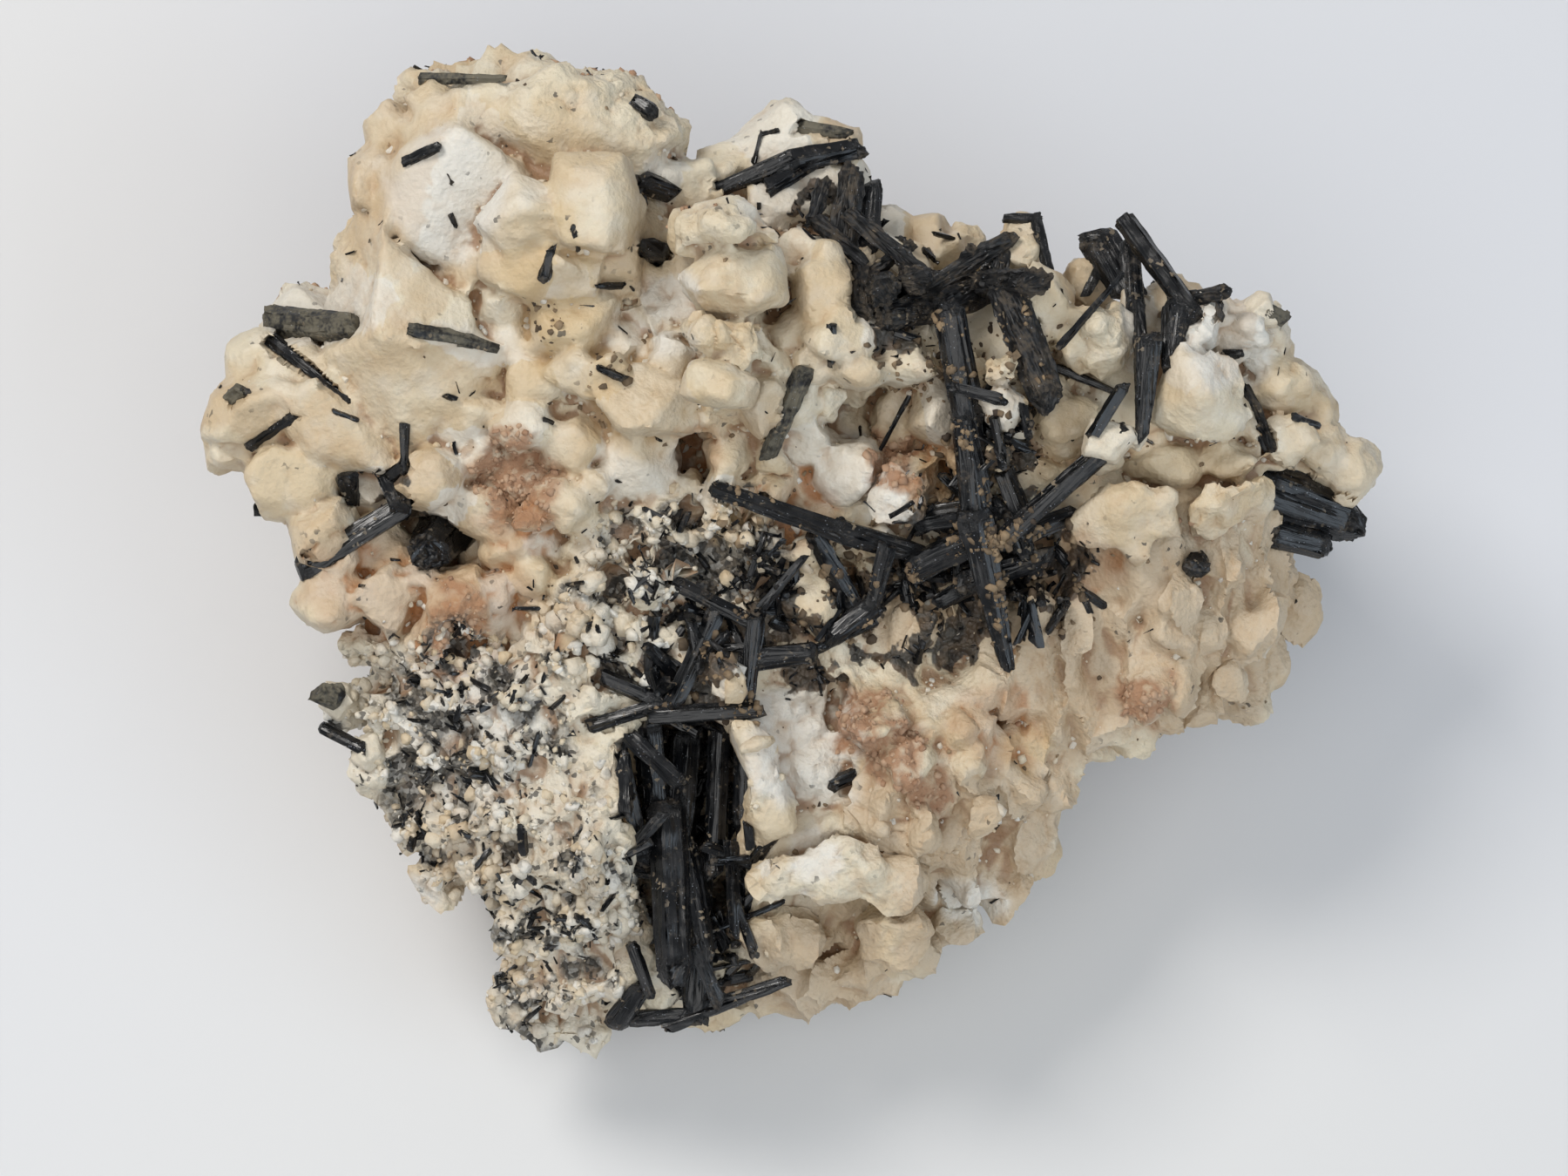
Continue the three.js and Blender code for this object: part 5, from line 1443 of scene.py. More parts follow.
        height += 0.9 * aside * noise.blocks(bent + 33.0, 8.0, plain)
        grapes, _ = noise.cells(bent + 90.0, 3.4)
        height += masks[Zone.GRAPES] * plain * (1.15 * np.sqrt(grapes) - 0.65)
        moved = points + 0.9 * warp * ((1 - near) * calm)[:, None]
        return moved + normals * height[:, None]

    @staticmethod
    def _felt(
        points: np.ndarray, granular: np.ndarray, soot: np.ndarray, noise: StoneNoise
    ) -> np.ndarray:
        """Measures where fine black needles mat the sugary parts.

        Args:
            points: Where it is measured.
            granular: How sugary each point is.
            soot: How much it belongs to the tangles of prisms.
            noise: The field to use.

        Returns:
            A value of 0 to 1 for each point.
        """
        clumps = noise.smooth(points + 7.0, 5.5) + 0.6 * noise.smooth(points, 2.1)
        matted = granular * step_between(0.06, 0.36, clumps)
        return np.maximum(matted, soot * step_between(-0.25, 0.15, clumps))

    def _close_sockets(self, surface: Surface, prisms: BVHTree) -> None:
        """Closes the fine gap round each prism.

        Args:
            surface: The worked rock.
            prisms: All prisms together.
        """
        reach = self.reach
        for index, place in enumerate(surface.places):
            near, normal, _, far = prisms.find_nearest(Vector(place * MM), reach * MM)
            if near is None:
                continue
            away = Vector(place * MM) - near
            if away.dot(normal) <= 0:
                continue
            share = 1 - (far / MM) / reach
            pull = min(0.95, 1.15 * share) if far / MM < 0.55 else 0.5 * share
            surface.places[index] -= np.array(away) / MM * pull
            surface.places[index] -= np.array(normal) * 0.12 * share

    @staticmethod
    def _flatten_base(surface: Surface) -> None:
        """Keeps the underside a flat face to rest on."""
        low = surface.places[:, 2] < 0.35
        surface.places[low, 2] = 0.0

    @staticmethod
    def _store(surface: Surface, masks: dict[Zone, np.ndarray]) -> None:
        """Keeps the kinds of surface and the hollows on the mesh for the finish.

        Args:
            surface: The finished rock.
            masks: How much each vertex belongs to each kind of surface.
        """
        fine = surface.hollow(3)
        broad = surface.hollow(22)
        # How deep each vertex lies below its surroundings; the finish paints shade and stain into the hollows
        # from it
        hollow = np.clip(0.5 * step_between(0.03, 0.25, fine) + 0.9 * step_between(0.35, 2.2, broad), 0, 1)
        paint(surface.mesh, "zones", [masks[Zone.GRANULAR], masks[Zone.PINK], masks[Zone.GOLD]])
        paint(surface.mesh, "tones", [masks[Zone.WHITE], masks[Zone.RUST], hollow])


@dataclass
class Prisms:
    """Triangles of prisms on their way to grooved crystals, and the way each one's prism runs."""

    places: np.ndarray
    faces: np.ndarray
    ways: np.ndarray
    widths: np.ndarray

    def refine(self, limit: float, stretch: float, rounds: int = 9) -> None:
        """Splits long edges, far more finely across a prism than along it.

        Args:
            limit: The longest edge across a prism, in millimetres.
            stretch: How many times longer an edge along it may be.
            rounds: The most rounds of splitting.
        """
        for _ in range(rounds):
            corners = self.faces[:, [0, 1, 1, 2, 2, 0]].reshape(-1, 2)
            low, high = corners.min(axis=1), corners.max(axis=1)
            keys, which = np.unique(low * len(self.places) + high, return_inverse=True)
            span = self.places[corners[:, 1]] - self.places[corners[:, 0]]
            along = np.einsum("ij,ij->i", span, np.repeat(self.ways, 3, axis=0))
            across = np.sqrt(np.maximum(np.einsum("ij,ij->i", span, span) - along**2, 0))
            longest = np.zeros(len(keys))
            np.maximum.at(longest, which, np.hypot(across, along / stretch))
            split = longest > limit
            if not split.any():
                return
            middle = np.full(len(keys), -1)
            middle[split] = len(self.places) + np.arange(split.sum())
            one, other = keys[split] // len(self.places), keys[split] % len(self.places)
            self.places = np.vstack([self.places, (self.places[one] + self.places[other]) / 2])
            self._split(middle[which].reshape(-1, 3))

    def _split(self, middle: np.ndarray) -> None:
        """Replaces each triangle by those that its new middles make.

        Args:
            middle: The new vertex on each of a triangle's three edges, or -1.
        """
        faces, ways, widths = [], [], []
        count = (middle >= 0).sum(axis=1)
        for turn in range(3):
            order = [turn, (turn + 1) % 3, (turn + 2) % 3]
            a, b, c = self.faces[:, order].T
            ab, bc, ca = middle[:, order].T
            cases = [
                ((count == 1) & (ab >= 0), [(a, ab, c), (ab, b, c)]),
                ((count == 2) & (ca < 0), [(ab, b, bc), (a, ab, bc), (a, bc, c)]),
            ]
            if turn == 0:
                cases.append((count == 0, [(a, b, c)]))
                cases.append((count == 3, [(a, ab, ca), (ab, b, bc), (ca, bc, c), (ab, bc, ca)]))
            for chosen, pieces in cases:
                for piece in pieces:
                    faces.append(np.stack([column[chosen] for column in piece], axis=1))
                    ways.append(self.ways[chosen])
                    widths.append(self.widths[chosen])
        self.faces = np.concatenate(faces)
        self.ways = np.concatenate(ways)
        self.widths = np.concatenate(widths)

    def grooved(self, noise: StoneNoise, crust: float) -> tuple[np.ndarray, np.ndarray, np.ndarray]:
        """Cuts grooves along the prisms and breaks their ends and edges.

        Args:
            noise: The field to use.
            crust: How much crumbly crust lies on them, from 0 to 1.

        Returns:
            The new places, the place measured along the grooves, and how broken each vertex is.
        """
        corners = self.places[self.faces]
        flat = np.cross(corners[:, 1] - corners[:, 0], corners[:, 2] - corners[:, 0])
        area = np.linalg.norm(flat, axis=1)
        count = len(self.places)
        normal, spread = np.zeros((count, 3)), np.zeros((count, 3, 3))
        plain, total, width = np.zeros(count), np.zeros(count), np.zeros(count)
        outer = np.einsum("ij,ik->ijk", self.ways, self.ways) * area[:, None, None]
        end = (np.linalg.norm(self.ways, axis=1) < 0.5) * area
        for corner in range(3):
            index = self.faces[:, corner]
            np.add.at(normal, index, flat)
            np.add.at(spread, index, outer)
            np.add.at(plain, index, end)
            np.add.at(total, index, area)
            np.add.at(width, index, self.widths * area)
        total = np.maximum(total, 1e-12)
        edge = 1 - np.linalg.norm(normal, axis=1) / total
        normal = unit(normal)
        values, vectors = np.linalg.eigh(spread)
        way = vectors[:, :, 2] * (values[:, 2] > 1e-9)[:, None]
        run = np.einsum("ij,ij->i", self.places, way)
        drawn = self.places - way * (run * (1 - 1 / 18.0))[:, None]
        broken = np.clip(plain / total, 0, 1)
        scale = np.clip(width / total, 0.35, 3.0)

        sides = 0.04 * scale * noise.smooth(drawn, 0.8) + 0.045 * np.sqrt(scale) * noise.smooth(drawn, 0.4)
        sides -= 0.12 * scale * step_between(0.3, 0.5, noise.smooth(drawn + 9.0, 1.1))
        ends = 0.5 * noise.smooth(self.places, 0.95) + 0.22 * noise.smooth(self.places, 0.45)
        height = sides * (1 - broken) + ends * np.sqrt(scale) * broken
        chipped = np.clip(noise.smooth(self.places, 1.5) - 0.05, 0, 1)
        height -= 1.2 * np.sqrt(scale) * chipped * np.clip(edge * 4, 0, 1)
        height += 0.1 * scale * noise.smooth(self.places, 3.0)
        if crust > 0:
            lumps, _ = noise.cells(self.places, 0.9)
            height += crust * (0.5 * lumps - 0.15)
        return self.places + normal * height[:, None], drawn, broken


def prisms_of(source: bpy.types.Object) -> Prisms:
    """Reads a node's crystals as prism faces.

    Args:
        source: The node.

    Returns:
        Its triangles, with the way that the prism under each runs, or zeros on a broken end.
    """
    work = bmesh.new()
    work.from_mesh(source.data)
    bmesh.ops.remove_doubles(work, verts=work.verts, dist=0.004 * MM)
    bmesh.ops.dissolve_limit(
        work, angle_limit=math.radians(1.2), verts=work.verts, edges=work.edges, use_dissolve_boundaries=False
    )
    mesh = bpy.data.meshes.new("work")
    work.to_mesh(mesh)
    work.free()
    places = places_of(mesh)
    ways, widths = np.zeros((len(mesh.polygons), 3)), np.zeros(len(mesh.polygons))
    for polygon in mesh.polygons:
        ring = places[list(polygon.vertices)]
        sides = np.roll(ring, -1, axis=0) - ring
        values, vectors = np.linalg.eigh(sides.T @ sides)
        short, long = math.sqrt(max(values[1], 0) / 2), math.sqrt(max(values[2], 0) / 2)
        widths[polygon.index] = short
        if short < 0.62 * long:
            ways[polygon.index] = vectors[:, 2]
    mesh.calc_loop_triangles()
    count = len(mesh.loop_triangles)
    faces, owners = np.empty(count * 3, np.int32), np.empty(count, np.int32)
    mesh.loop_triangles.foreach_get("vertices", faces)
    mesh.loop_triangles.foreach_get("polygon_index", owners)
    bpy.data.meshes.remove(mesh)
    return Prisms(places, faces.reshape(-1, 3).astype(np.int64), ways[owners], widths[owners])


def finished_crystals(name: str, prisms: Prisms, crust: float, seed: int) -> bpy.types.Mesh:
    """Grooves a set of prisms and makes its mesh.

    Args:
        name: The mesh's name.
        prisms: The prisms, already divided finely enough.
        crust: How much crust lies on them.
        seed: The number that their noise is drawn from.

    Returns:
        The mesh, with its grooves' layer and its broken parts marked.
    """
    places, drawn, broken = prisms.grooved(StoneNoise(seed), crust)
    mesh = mesh_from(name, places, prisms.faces)
    along = mesh.attributes.new("along", "FLOAT_VECTOR", "POINT")
    along.data.foreach_set("vector", drawn.astype(np.float32).ravel())
    paint(mesh, "tones", [broken])
    mesh.shade_smooth()
    mesh.set_sharp_from_angle(angle=math.radians(38))
    return mesh


@dataclass
class SchorlCrystals:
    """The tourmaline prisms of the specimen, one piece for each crystal or grown-together group."""

    across: float = 0.25
    stretch: float = 5.0
    crusted: tuple[str, ...] = ("schorl_crusty_bar", "schorl_shoulder_crust", "schorl_brown_blade")
    dull: tuple[str, ...] = (
        "schorl_left_bar", "schorl_block_flakes", "schorl_top_flake", "schorl_grey_bar", "schorl_crest_bar",
        "schorl_left_nub", "schorl_edge_nub", "schorl_shoulder_nub",
    )

    def build(
        self, clean: bpy.types.Material, crusty: bpy.types.Material, dusty: bpy.types.Material
    ) -> Iterator[bpy.types.Object]:
        """Makes the dressed prisms one after another.

        Args:
            clean: The finish of a clean prism.
            crusty: The finish of one under crust.
            dusty: The finish of one with a dull, dusty skin.

        Yields:
            Each piece.
        """
        names = sorted(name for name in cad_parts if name.startswith("schorl_"))
        for seed, node in enumerate(names, start=100):
            finish, crust = clean, 0.0
            if node in self.crusted:
                finish, crust = crusty, 0.8
            elif node in self.dull:
                finish, crust = dusty, 0.3
            prisms = prisms_of(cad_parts[node])
            prisms.refine(self.across, self.stretch)
            label = node.replace("schorl_", "prism_")
            mesh = finished_crystals(label, prisms, crust, seed)
            piece = show(label, mesh, finish)
            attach(piece, "root")
            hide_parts(node)
            yield piece


def small_prism(
    start: np.ndarray, end: np.ndarray, width: float, rng: np.random.Generator
) -> tuple[np.ndarray, np.ndarray, np.ndarray]:
    """Makes one small prism with slanted ends.

    Args:
        start: One end, in millimetres.
        end: The other end.
        width: Its thickness.
        rng: Where its irregularity is drawn from.

    Returns:
        Its places, its faces, and the way of each face.
    """
    way = unit(end - start)
    aside = unit(np.cross(way, rng.normal(size=3)))
    third = np.cross(way, aside)
    sides = int(rng.integers(5, 7))
    turns = (np.arange(sides) + rng.uniform(-0.25, 0.25, sides)) * 2 * math.pi / sides
    radii = width / 2 * rng.uniform(0.78, 1.15, sides)
    squash = rng.uniform(0.6, 1.0)
    ring = radii[:, None] * (np.cos(turns)[:, None] * aside + squash * np.sin(turns)[:, None] * third)
    tilts = ring @ (rng.normal(size=(3, 2)) * 0.45)
    first = start + ring * rng.uniform(0.75, 1.0) + way * tilts[:, :1]
    last = end + ring * rng.uniform(0.7, 1.0) + way * tilts[:, 1:]
    places = np.vstack([first, last, start[None] - way * 0.1 * width, end[None] + way * 0.1 * width])
    faces, ways = [], []
    for side in range(sides):
        after = (side + 1) % sides
        faces += [(side, after, side + sides), (after, after + sides, side + sides)]
        faces += [(after, side, 2 * sides), (side + sides, after + sides, 2 * sides + 1)]
        ways += [way, way, way * 0, way * 0]
    return places, np.array(faces), np.array(ways)


def joined_prisms(parts: list[tuple[np.ndarray, np.ndarray, np.ndarray]], width: float) -> Prisms:
    """Joins small prisms into one set.

    Args:
        parts: Places, faces and ways of each.
        width: The usual thickness, which scales the grooves.

    Returns:
        The set.
    """
    count, places, faces, ways = 0, [], [], []
    for part_places, part_faces, part_ways in parts:
        places.append(part_places)
        faces.append(part_faces + count)
        ways.append(part_ways)
        count += len(part_places)
    stacked = np.concatenate(faces).astype(np.int64)
    return Prisms(np.vstack(places), stacked, np.concatenate(ways), np.full(len(stacked), width))


class Sites:
    """Places where small things can sit."""

    def __init__(self, pieces: list[bpy.types.Object], face: PhotoFace, keep_off: BVHTree | None) -> None:
        """Reads the pieces.

        Args:
            pieces: The pieces to sit on.
            face: The face of the specimen.
            keep_off: What nothing may sit close to, if anything.
        """
        surfaces = [Surface(piece.data) for piece in pieces]
        self.places = np.vstack([surface.places for surface in surfaces])
        self.normals = np.vstack([surface.normals() for surface in surfaces])
        self.face = face
        self.keep_off = keep_off
        self.on_face = face.from_row(self.places)
        self.facing = self.normals @ face.outward()

    def near(self, discs: tuple[tuple[float, float, float], ...]) -> np.ndarray:
        """Measures how close each place is to the middle of a disc.

        Args:
            discs: Right, up and radius of each disc on the face, in millimetres.

        Returns:
            A value of 0 to 1 for each place.
        """
        share = np.zeros(len(self.places))
        for right, up, radius in discs:
            far = np.hypot(self.on_face[:, 0] - right, self.on_face[:, 1] - up) / radius
            share = np.maximum(share, np.clip(1.15 - far, 0, 1))
        return share * (self.facing > -0.3) * (self.on_face[:, 2] > -30)

    def pick(self, weights: np.ndarray, count: int, rng: np.random.Generator) -> np.ndarray:
        """Draws places by weight.

        Args:
            weights: How likely each place is.
            count: How many are drawn.
            rng: Where they are drawn from.

        Returns:
            Their numbers.
        """
        if weights.sum() <= 0:
            return np.zeros(0, int)
        drawn = rng.choice(len(weights), size=count, p=weights / weights.sum())
        drawn = drawn[self.places[drawn, 2] > 1.0]
        if self.keep_off is None:
            return drawn
        close = 0.35 * MM
        free = [n for n in drawn if self.keep_off.find_nearest(Vector(self.places[n] * MM), close)[0] is None]
        return np.array(free, int)


class RockSites(Sites):
    """Places on the finished rock, with its zones and heights."""

    def __init__(self, rock: bpy.types.Object, face: PhotoFace, prisms: BVHTree) -> None:
        """Reads the rock.

        Args:
            rock: The finished feldspar piece.
            face: The face of the specimen.
            prisms: All prisms together, which small things keep off.
        """
        super().__init__([rock], face, prisms)
        self.ground = Ground(rock, face)
        self.layers = {}
        for name in ("zones", "tones", "marks"):
            values = np.empty(len(self.places) * 4, np.float32)
            rock.data.color_attributes[name].data.foreach_get("color", values)
            self.layers[name] = values.reshape(-1, 4)


def pebble(rng: np.random.Generator, angular: float) -> tuple[np.ndarray, np.ndarray]:
    """Makes one blocky grain of size one.

    Args:
        rng: Where its corners are drawn from.
        angular: How blocky it is, from 0 to 1.

    Returns:
        Its corners and its triangles.
    """
    work = bmesh.new()
    for _ in range(21):
        point = unit(rng.normal(size=3))
        blocky = point / np.abs(point).max()
        work.verts.new(point * (1 - angular) + blocky * angular * rng.uniform(0.8, 1.0))
    result = bmesh.ops.convex_hull(work, input=work.verts)
    bmesh.ops.delete(work, geom=list(set(result["geom_interior"] + result["geom_unused"])), context="VERTS")
    bmesh.ops.recalc_face_normals(work, faces=work.faces)
    work.verts.index_update()
    corners = np.array([tuple(v.co) for v in work.verts])
    sides = np.array([[v.index for v in f.verts] for f in work.faces])
    work.free()
    return corners, sides


@dataclass(frozen=True)
class GrainSpec:
    """One kind of scattered grain."""

    name: str
    count: int
    smallest: float
    largest: float
    angular: float
    seed: int
    sink: float = 0.05


@dataclass
class Grains:
    """Sugary grains and crumbs that stand on the rock, joined in one mesh for each kind."""

    spec: GrainSpec

    def build(
        self, sites: Sites, weights: np.ndarray, material: bpy.types.Material, slot: str
    ) -> bpy.types.Object:
        """Scatters the grains.

        Args:
            sites: Where they can sit.
            weights: How likely each place is.
            material: Their finish.
            slot: Not used.

        Returns:
            The piece.
        """
        spec = self.spec
        rng = np.random.default_rng(spec.seed)
        picked = sites.pick(weights, spec.count, rng)
        shapes = [pebble(rng, spec.angular) for _ in range(24)]
        places, faces, shades, count = [], [], [], 0
        for index in picked:
            shape, sides = shapes[int(rng.integers(len(shapes)))]
            reach = spec.smallest + (spec.largest - spec.smallest) * rng.random() ** 2.4
            turn = np.linalg.qr(rng.normal(size=(3, 3)))[0]
            turn *= np.sign(np.linalg.det(turn))
            grain = (shape * rng.uniform(0.55, 1.25, 3)) @ turn.T * reach / 2
            places.append(grain + sites.places[index] - sites.normals[index] * reach * spec.sink)
            faces.append(sides + count)
            shades.append(np.full(len(shape), rng.random() ** 1.5))
            count += len(shape)
        stacked = np.vstack(places)
        stacked[:, 2] = np.maximum(stacked[:, 2], 0.05)
        mesh = mesh_from(spec.name, stacked, np.vstack(faces))
        paint_as_rock(mesh, np.concatenate(shades), 0.4)
        mesh.shade_smooth()
        mesh.set_sharp_from_angle(angle=math.radians(40 + 60 * (1 - spec.angular)))
        piece = show(spec.name, mesh, material)
        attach(piece, "root")
        return piece


@dataclass(frozen=True)
class SeatCrystals:
    """Small feldspar crystals that carry the prisms which stand out past the rock's edge."""

    # Right, up and outward of each crystal's middle, and its half width.
    rows: tuple[tuple[float, float, float, float], ...] = (
        (-47.8, -18.9, 3.0, 2.0), (36.2, 16.5, 15.3, 2.6), (54.0, 31.2, 7.4, 2.0),
        (-51.3, -12.8, 1.0, 2.0), (39.5, 16.8, 14.5, 1.2),
    )
    unevenness: float = 0.22
    swell: float = 1.2
    shade: float = 0.3
    shapes: int = 4
    sharp: float = 50.0
    seed: int = 35

    def build(self, face: PhotoFace, material: bpy.types.Material) -> bpy.types.Object:
        """Sets the crystals between the rock and the prisms' feet.

        Args:
            face: The face of the specimen.
            material: The feldspar's finish.

        Returns:
            The piece.
        """
        ways, sides = ball(self.shapes)
        rng = np.random.default_rng(self.seed)
        noise = StoneNoise(self.seed)
        places, faces = [], []
        for right, up, out, half_width in self.rows:
            shape = ways * FeldsparCrystals().cut(rng, ways)[:, None] * half_width
            placed = face.to_row(shape + np.array([right, up, out]))
            swell = self.unevenness * noise.smooth(placed, self.swell)
            faces.append(sides + len(ways) * len(places))
            places.append(placed + face.to_row(ways * swell[:, None]) - face.to_row(np.zeros(3)))
        mesh = mesh_from("seat_crystals", np.vstack(places), np.vstack(faces))
        paint_as_rock(mesh, np.full(len(mesh.vertices), self.shade), 0.2)
        mesh.shade_smooth()
        mesh.set_sharp_from_angle(angle=math.radians(self.sharp))
        piece = show("seat_crystals", mesh, material)
        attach(piece, "root")
        return piece


@dataclass(frozen=True)
class NeedleSpec:
    """One kind of scattered small prism."""

    name: str
    count: int
    length: tuple[float, float]
    width: tuple[float, float]
    rise: float
    seed: int
    heading: float | None = None
    fan: float = 0.5
    sink: float = 0.3


@dataclass
class Needles:
    """Small black prisms and chips that lie on the rock, joined in one mesh for each kind."""

    spec: NeedleSpec

    def build(
        self, sites: RockSites, weights: np.ndarray, material: bpy.types.Material
    ) -> bpy.types.Object:
        """Scatters the prisms.

        Args:
            sites: Where they can sit.
            weights: How likely each place is.
            material: Their finish.

        Returns:
            The piece.
        """
        spec = self.spec
        rng = np.random.default_rng(spec.seed)
        parts = []
        for index in sites.pick(weights, spec.count, rng):
            normal = sites.normals[index]
            way = rng.normal(size=3)
            if spec.heading is not None:
                angle = spec.heading + rng.normal() * spec.fan
                level = np.array([math.cos(angle), math.sin(angle), rng.normal() * 0.3])
                way = sites.face.turn() @ level
            way = unit(way - normal * (way @ normal))
            way = unit(way + normal * rng.uniform(0, spec.rise))
            length = rng.uniform(*spec.length) * rng.uniform(0.6, 1.0)
            width = rng.uniform(*spec.width)
            start = sites.places[index] + normal * (width * 0.2) - way * length * spec.sink
            parts.append(small_prism(start, start + way * length, width, rng))
        prisms = joined_prisms(parts, sum(spec.width) / 2)
        if spec.width[1] > 0.9:
            prisms.refine(0.3, 4.0, rounds=4)
        prisms.places[:, 2] = np.maximum(prisms.places[:, 2], 0.3)
        mesh = finished_crystals(spec.name, prisms, 0.0, spec.seed)
        piece = show(spec.name, mesh, material)
        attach(piece, "root")
        return piece


@dataclass
class PlacedChips:
    """Single small prisms that the photograph shows, each between two points of the face."""

    # Right and up of one end, right and up of the other, thickness, and how far the far end rises.
    rows: tuple[tuple[float, float, float, float, float, float], ...] = (
        (-42.8, 48.0, -39.0, 49.6, 1.7, 0.3),
        (-3.5, 48.4, -2.6, 52.2, 0.9, 0.6),
        (-2.8, 52.0, -0.8, 52.4, 0.8, 0.3),
        (50.0, 26.4, 52.0, 26.6, 2.0, 0.2),
        (58.0, 19.4, 61.0, 18.4, 1.4, 0.3),
        (5.4, -22.6, 8.0, -21.4, 1.9, 0.2),
        (15.2, -8.6, 15.7, -6.6, 1.5, 0.1),
        (-26.2, 38.0, -27.0, 34.6, 1.7, 0.2),
        (-23.5, 40.0, -23.0, 38.0, 1.3, 0.2),
        (5.4, 29.4, 5.4, 25.4, 1.7, 0.3),
        (-20.9, 24.8, -18.2, 23.6, 1.5, 0.2),
        (-21.0, 34.0, -18.0, 34.2, 1.2, 0.2),
        (-29.8, -27.0, -29.6, -30.0, 1.7, 0.1),
        (11.0, 15.8, 14.2, 21.8, 0.8, 3.0),
        (8.7, 18.5, 9.0, 15.5, 0.6, 0.5),
        (3.8, -10.0, 4.3, -12.0, 0.9, 0.1),
        (-50.0, 38.0, -46.0, 39.3, 0.3, 0.0),
        (-37.6, 42.0, -37.2, 40.8, 0.8, 0.0),
        (-38.0, 46.6, -37.4, 45.6, 0.5, 0.0),
        (-51.0, 20.0, -48.4, 19.0, 0.8, 0.1),
        (-62.8, 22.0, -61.0, 22.4, 1.6, 0.2),
        (-38.4, 21.8, -37.2, 21.4, 0.9, 0.1),
        (-37.6, 16.6, -37.2, 15.2, 0.5, 0.1),
        (-27.2, 19.0, -26.0, 18.6, 0.9, 0.1),
        (-14.6, 17.0, -13.8, 16.6, 0.8, 0.1),
    )
    seed: int = 61

    def build(self, sites: RockSites, material: bpy.types.Material) -> bpy.types.Object:
        """Lays the chips on the rock.

        Args:
            sites: The rock under them.
            material: Their finish.

        Returns:
            The piece.
        """
        rng = np.random.default_rng(self.seed)
        parts = []
        for right, up, far_right, far_up, width, rise in self.rows:
            first, second = sites.ground.height(right, up), sites.ground.height(far_right, far_up)
            if first is None or second is None:
                continue
            second = min(max(second, first - 2.5), first + 2.5)
            start = sites.face.to_row(np.array([right, up, first + 0.12 * width]))
            end = sites.face.to_row(np.array([far_right, far_up, second + 0.2 * width + rise]))
            parts.append(small_prism(start, end, width, rng))
        prisms = joined_prisms(parts, 1.3)
        prisms.refine(0.22, 4.0, rounds=5)
        piece = show("placed_chips", finished_crystals("placed_chips", prisms, 0.0, self.seed), material)
        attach(piece, "root")
        return piece


@dataclass
class Studio:
    """The pale sheet, the soft lights and the camera."""

    distance: float = 0.75
    lens: float = 150.0
    sensor: float = 36.0
    sheet: float = 3.0

    def build(self, face: PhotoFace, sheet_material: bpy.types.Material) -> None:
        """Sets the scene.

        Args:
            face: The face that the camera looks at.
            sheet_material: The sheet's finish.
        """
        self._sheet(sheet_material)
        self._sky()
        self._light("window", (-0.5, 0.45, 0.85), 0.4, 7.0, (1.0, 0.965, 0.92))
        self._light("cool_fill", (0.8, -0.5, 0.7), 0.9, 5.2, (0.74, 0.87, 1.0))
        self._light("ceiling", (-0.2, -0.6, 1.2), 1.2, 7.5, (1.0, 0.99, 0.97))
        self._camera(face)

    def _sheet(self, material: bpy.types.Material) -> None:
        """Lays the sheet under the rock.

        Args:
            material: The sheet's finish.
        """
        half = self.sheet / 2
        mesh = bpy.data.meshes.new("sheet")
        corners = [(-half, -half, 0), (half, -half, 0), (half, half, 0), (-half, half, 0)]
        mesh.from_pydata(corners, [], [(0, 1, 2, 3)])
        floor = show("sheet", mesh, material)

    @staticmethod
    def _sky() -> None:
        """Lights everything evenly with a pale room."""
        world = bpy.data.worlds.new("room")
        bpy.context.scene.world = world
        bpy.context.scene.view_settings.view_transform = "Standard"
        world.use_nodes = True
        background = world.node_tree.nodes["Background"]
        background.inputs["Color"].default_value = (0.93, 0.96, 1.0, 1)
        background.inputs["Strength"].default_value = 0.34

    @staticmethod
    def _light(
        name: str, place: tuple[float, float, float], width: float, power: float,
        colour: tuple[float, float, float],
    ) -> None:
        """Hangs one soft light that points at the rock.

        Args:
            name: The light's name.
            place: Where it hangs, in metres.
            width: The side of its square panel.
            power: Its power in watts.
            colour: Its tint.
        """
        data = bpy.data.lights.new(name, "AREA")
        data.size = width
        data.energy = power
        data.color = colour
        lamp = bpy.data.objects.new(name, data)
        bpy.context.scene.collection.objects.link(lamp)
        lamp.location = place
        lamp.rotation_euler = (Vector(place) - Vector((0, 0, 0.03))).to_track_quat("Z", "Y").to_euler()

    def _camera(self, face: PhotoFace) -> None:
        """Stands the camera straight in front of the face.

        Args:
            face: The face of the specimen.
        """
        data = bpy.data.cameras.new("camera")
        data.sensor_width = self.sensor
        data.lens = self.lens
        data.clip_start = 0.01
        camera = bpy.data.objects.new("camera", data)
        bpy.context.scene.collection.objects.link(camera)
        outward = Vector(face.outward())
        camera.location = Vector(face.origin) * MM + outward * self.distance
        camera.rotation_euler = outward.to_track_quat("Z", "Y").to_euler()
        bpy.context.scene.camera = camera


def prism_tree() -> BVHTree:
    """Returns one search tree of every tourmaline prism of the frame.

    Returns:
        The tree, in metres.
    """
    corners, faces, count = [], [], 0
    for name, source in sorted(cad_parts.items()):
        if not name.startswith("schorl_"):
            continue
        corners += [tuple(v.co) for v in source.data.vertices]
        faces += [tuple(index + count for index in p.vertices) for p in source.data.polygons]
        count += len(source.data.vertices)
    return BVHTree.FromPolygons(corners, faces)


def report(piece: bpy.types.Object) -> None:
    """Logs one piece and how many faces it has."""
    LOG.info("%s: %d faces", piece.name, len(piece.data.polygons))


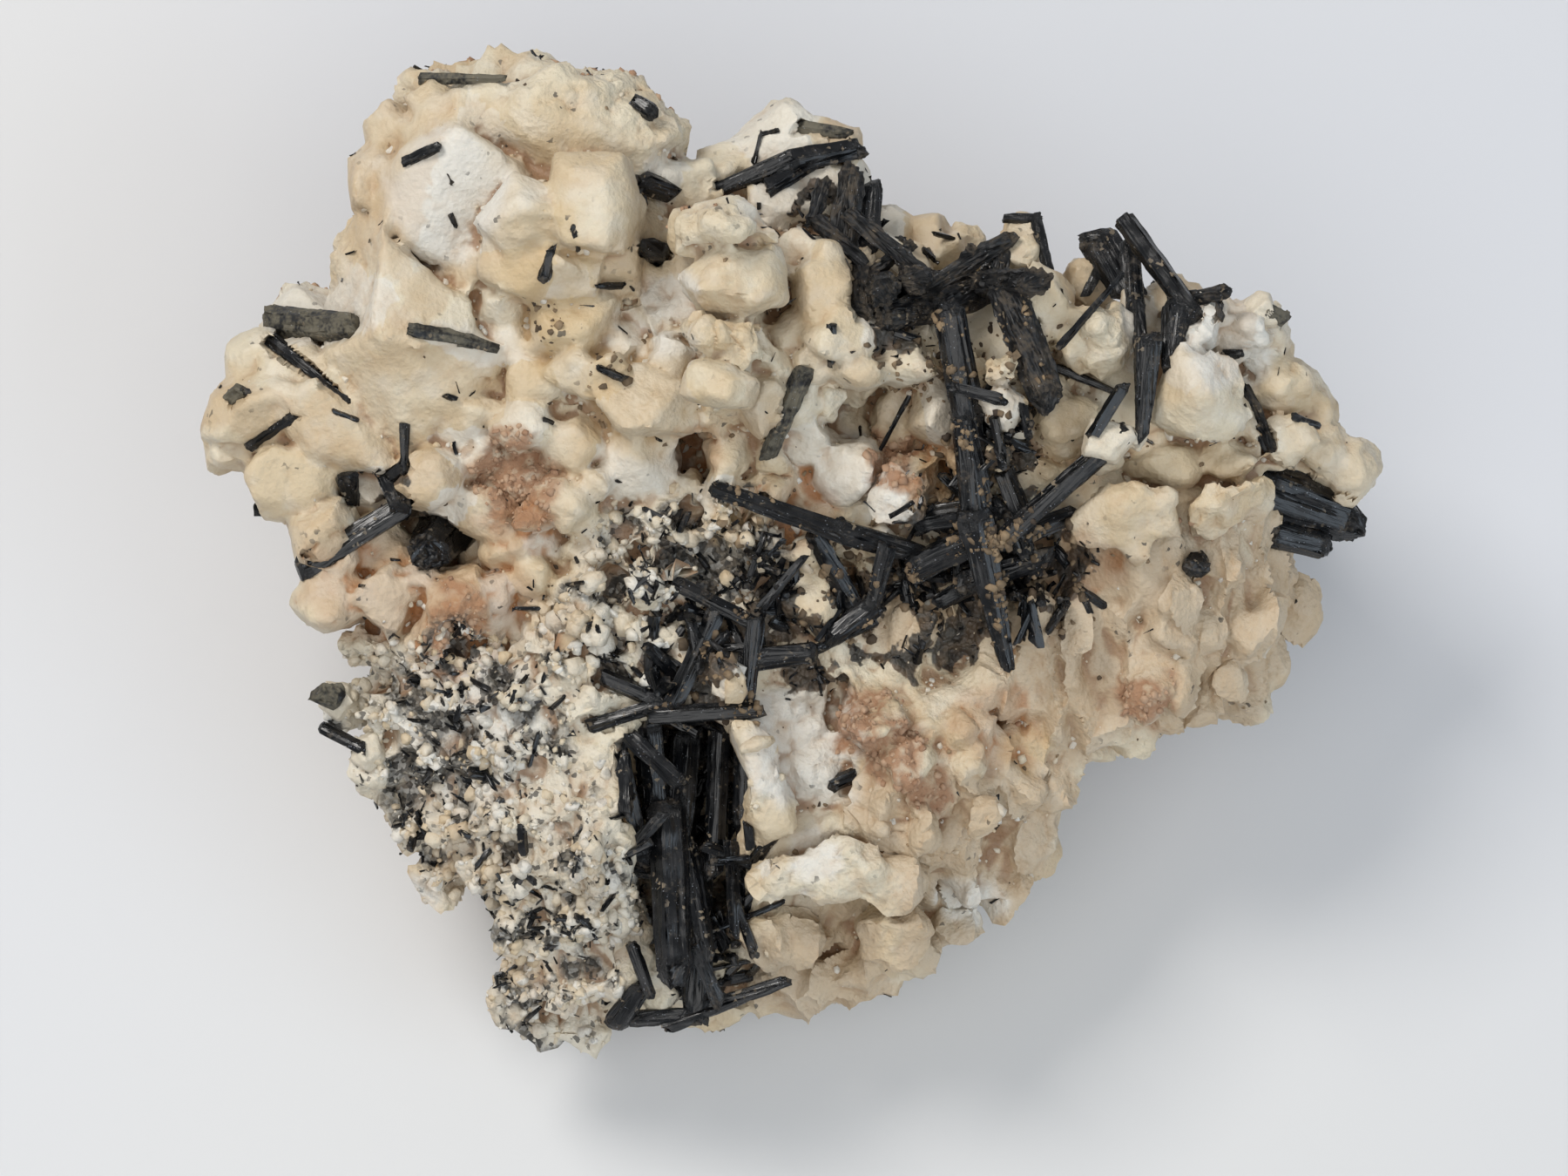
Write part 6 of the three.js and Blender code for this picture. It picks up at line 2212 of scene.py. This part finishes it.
def main() -> None:
    """Builds the dressed specimen and its studio."""
    logging.basicConfig(level=logging.INFO, format="%(name)s: %(message)s")
    effects = SharedEffects()
    face = PhotoFace()
    tree = prism_tree()
    clean = SchorlFinish("schorl", 0.08).make(effects)
    crusty = SchorlFinish("crusted_schorl", 0.3, gloss=0.42).make(effects)
    dusty = SchorlFinish("dusty_schorl", 0.5, crust=(0.15, 0.135, 0.10, 1), gloss=0.45).make(effects)
    stone = FeldsparFinish().make(effects)
    earth = GrainFinish("brown_crumb", (0.27, 0.19, 0.11, 1), (0.03, 0.019, 0.012, 1), 0.8).make(effects)
    crumb = GrainFinish("rose_crumb", (0.47, 0.32, 0.21, 1), (0.30, 0.17, 0.10, 1), 0.85).make(effects)

    rock = FeldsparRock().build(face, tree, stone)
    report(rock)
    prisms = list(SchorlCrystals().build(clean, crusty, dusty))
    for piece in prisms:
        report(piece)

    sites = RockSites(rock, face, tree)
    granular, pink = sites.layers["zones"][:, 0], sites.layers["zones"][:, 1]
    felt = sites.layers["marks"][:, 0]
    crevices = sites.layers["tones"][:, 2] ** 2 * (sites.facing > -0.2) * (1 - granular) * (1 - pink)
    report(Grains(GrainSpec("albite_grains", 3600, 0.4, 2.2, 0.3, 21, 0.16)).build(
        sites, granular**2 * (1 - 0.7 * felt), stone, "feldspar"))
    rim = sites.near(ZONES[Zone.RIM])
    report(Grains(GrainSpec("rim_lumps", 170, 1.4, 4.4, 0.5, 23, 0.24)).build(sites, rim, stone, "feldspar"))
    report(SeatCrystals().build(face, stone))
    report(Grains(GrainSpec("hub_crumbs", 1300, 0.25, 1.5, 0.7, 24)).build(
        sites, sites.near(CROSSING), earth, "feldspar"))
    report(Grains(GrainSpec("crevice_crumbs", 1500, 0.25, 1.3, 0.7, 27, 0.1)).build(
        sites, crevices, stone, "feldspar"))
    report(Grains(GrainSpec("crevice_dirt", 900, 0.2, 1.0, 0.7, 28, 0.1)).build(
        sites, crevices, earth, "feldspar"))
    on_prisms = Sites(prisms, face, None)
    clumps = StoneNoise(26).smooth(on_prisms.places, 3.6)
    upwards = np.clip(on_prisms.facing - 0.2, 0, 1)
    lying = on_prisms.near(CROSSING) * upwards * np.clip(clumps - 0.12, 0, 1)
    report(Grains(GrainSpec("prism_crumbs", 700, 0.2, 1.3, 0.7, 25, 0.15)).build(
        on_prisms, lying, earth, "feldspar"))
    report(Grains(GrainSpec("rose_crumbs", 1500, 0.3, 1.3, 0.4, 22)).build(sites, pink**2, crumb, "feldspar"))

    busy = sites.near(ZONES[Zone.CHIPS])
    everywhere = np.clip(sites.facing, 0, 1) * 0.02 + busy
    report(Needles(NeedleSpec("fine_chips", 1900, (0.4, 1.8), (0.2, 0.6), 0.5, 31)).build(
        sites, felt + granular * 0.12 + busy * 0.3 + 0.012, clean))
    report(Needles(NeedleSpec("short_prisms", 260, (1.6, 4.2), (0.6, 1.3), 0.45, 32)).build(
        sites, everywhere**2, clean))
    hub = sites.near(HUB)
    report(Needles(NeedleSpec("hub_prisms", 190, (2.5, 7.5), (0.7, 1.9), 0.6, 33)).build(
        sites, hub**2, clean))
    vug = sites.near(VUG)
    report(Needles(NeedleSpec(
        "vug_prisms", 130, (3.5, 9.5), (0.9, 2.6), 0.55, 34, heading=math.radians(85), fan=0.6)).build(
        sites, vug**2, clean))
    report(PlacedChips().build(sites, clean))
    Studio().build(face, TableFinish().make())


if __name__ == "__main__":
    main()
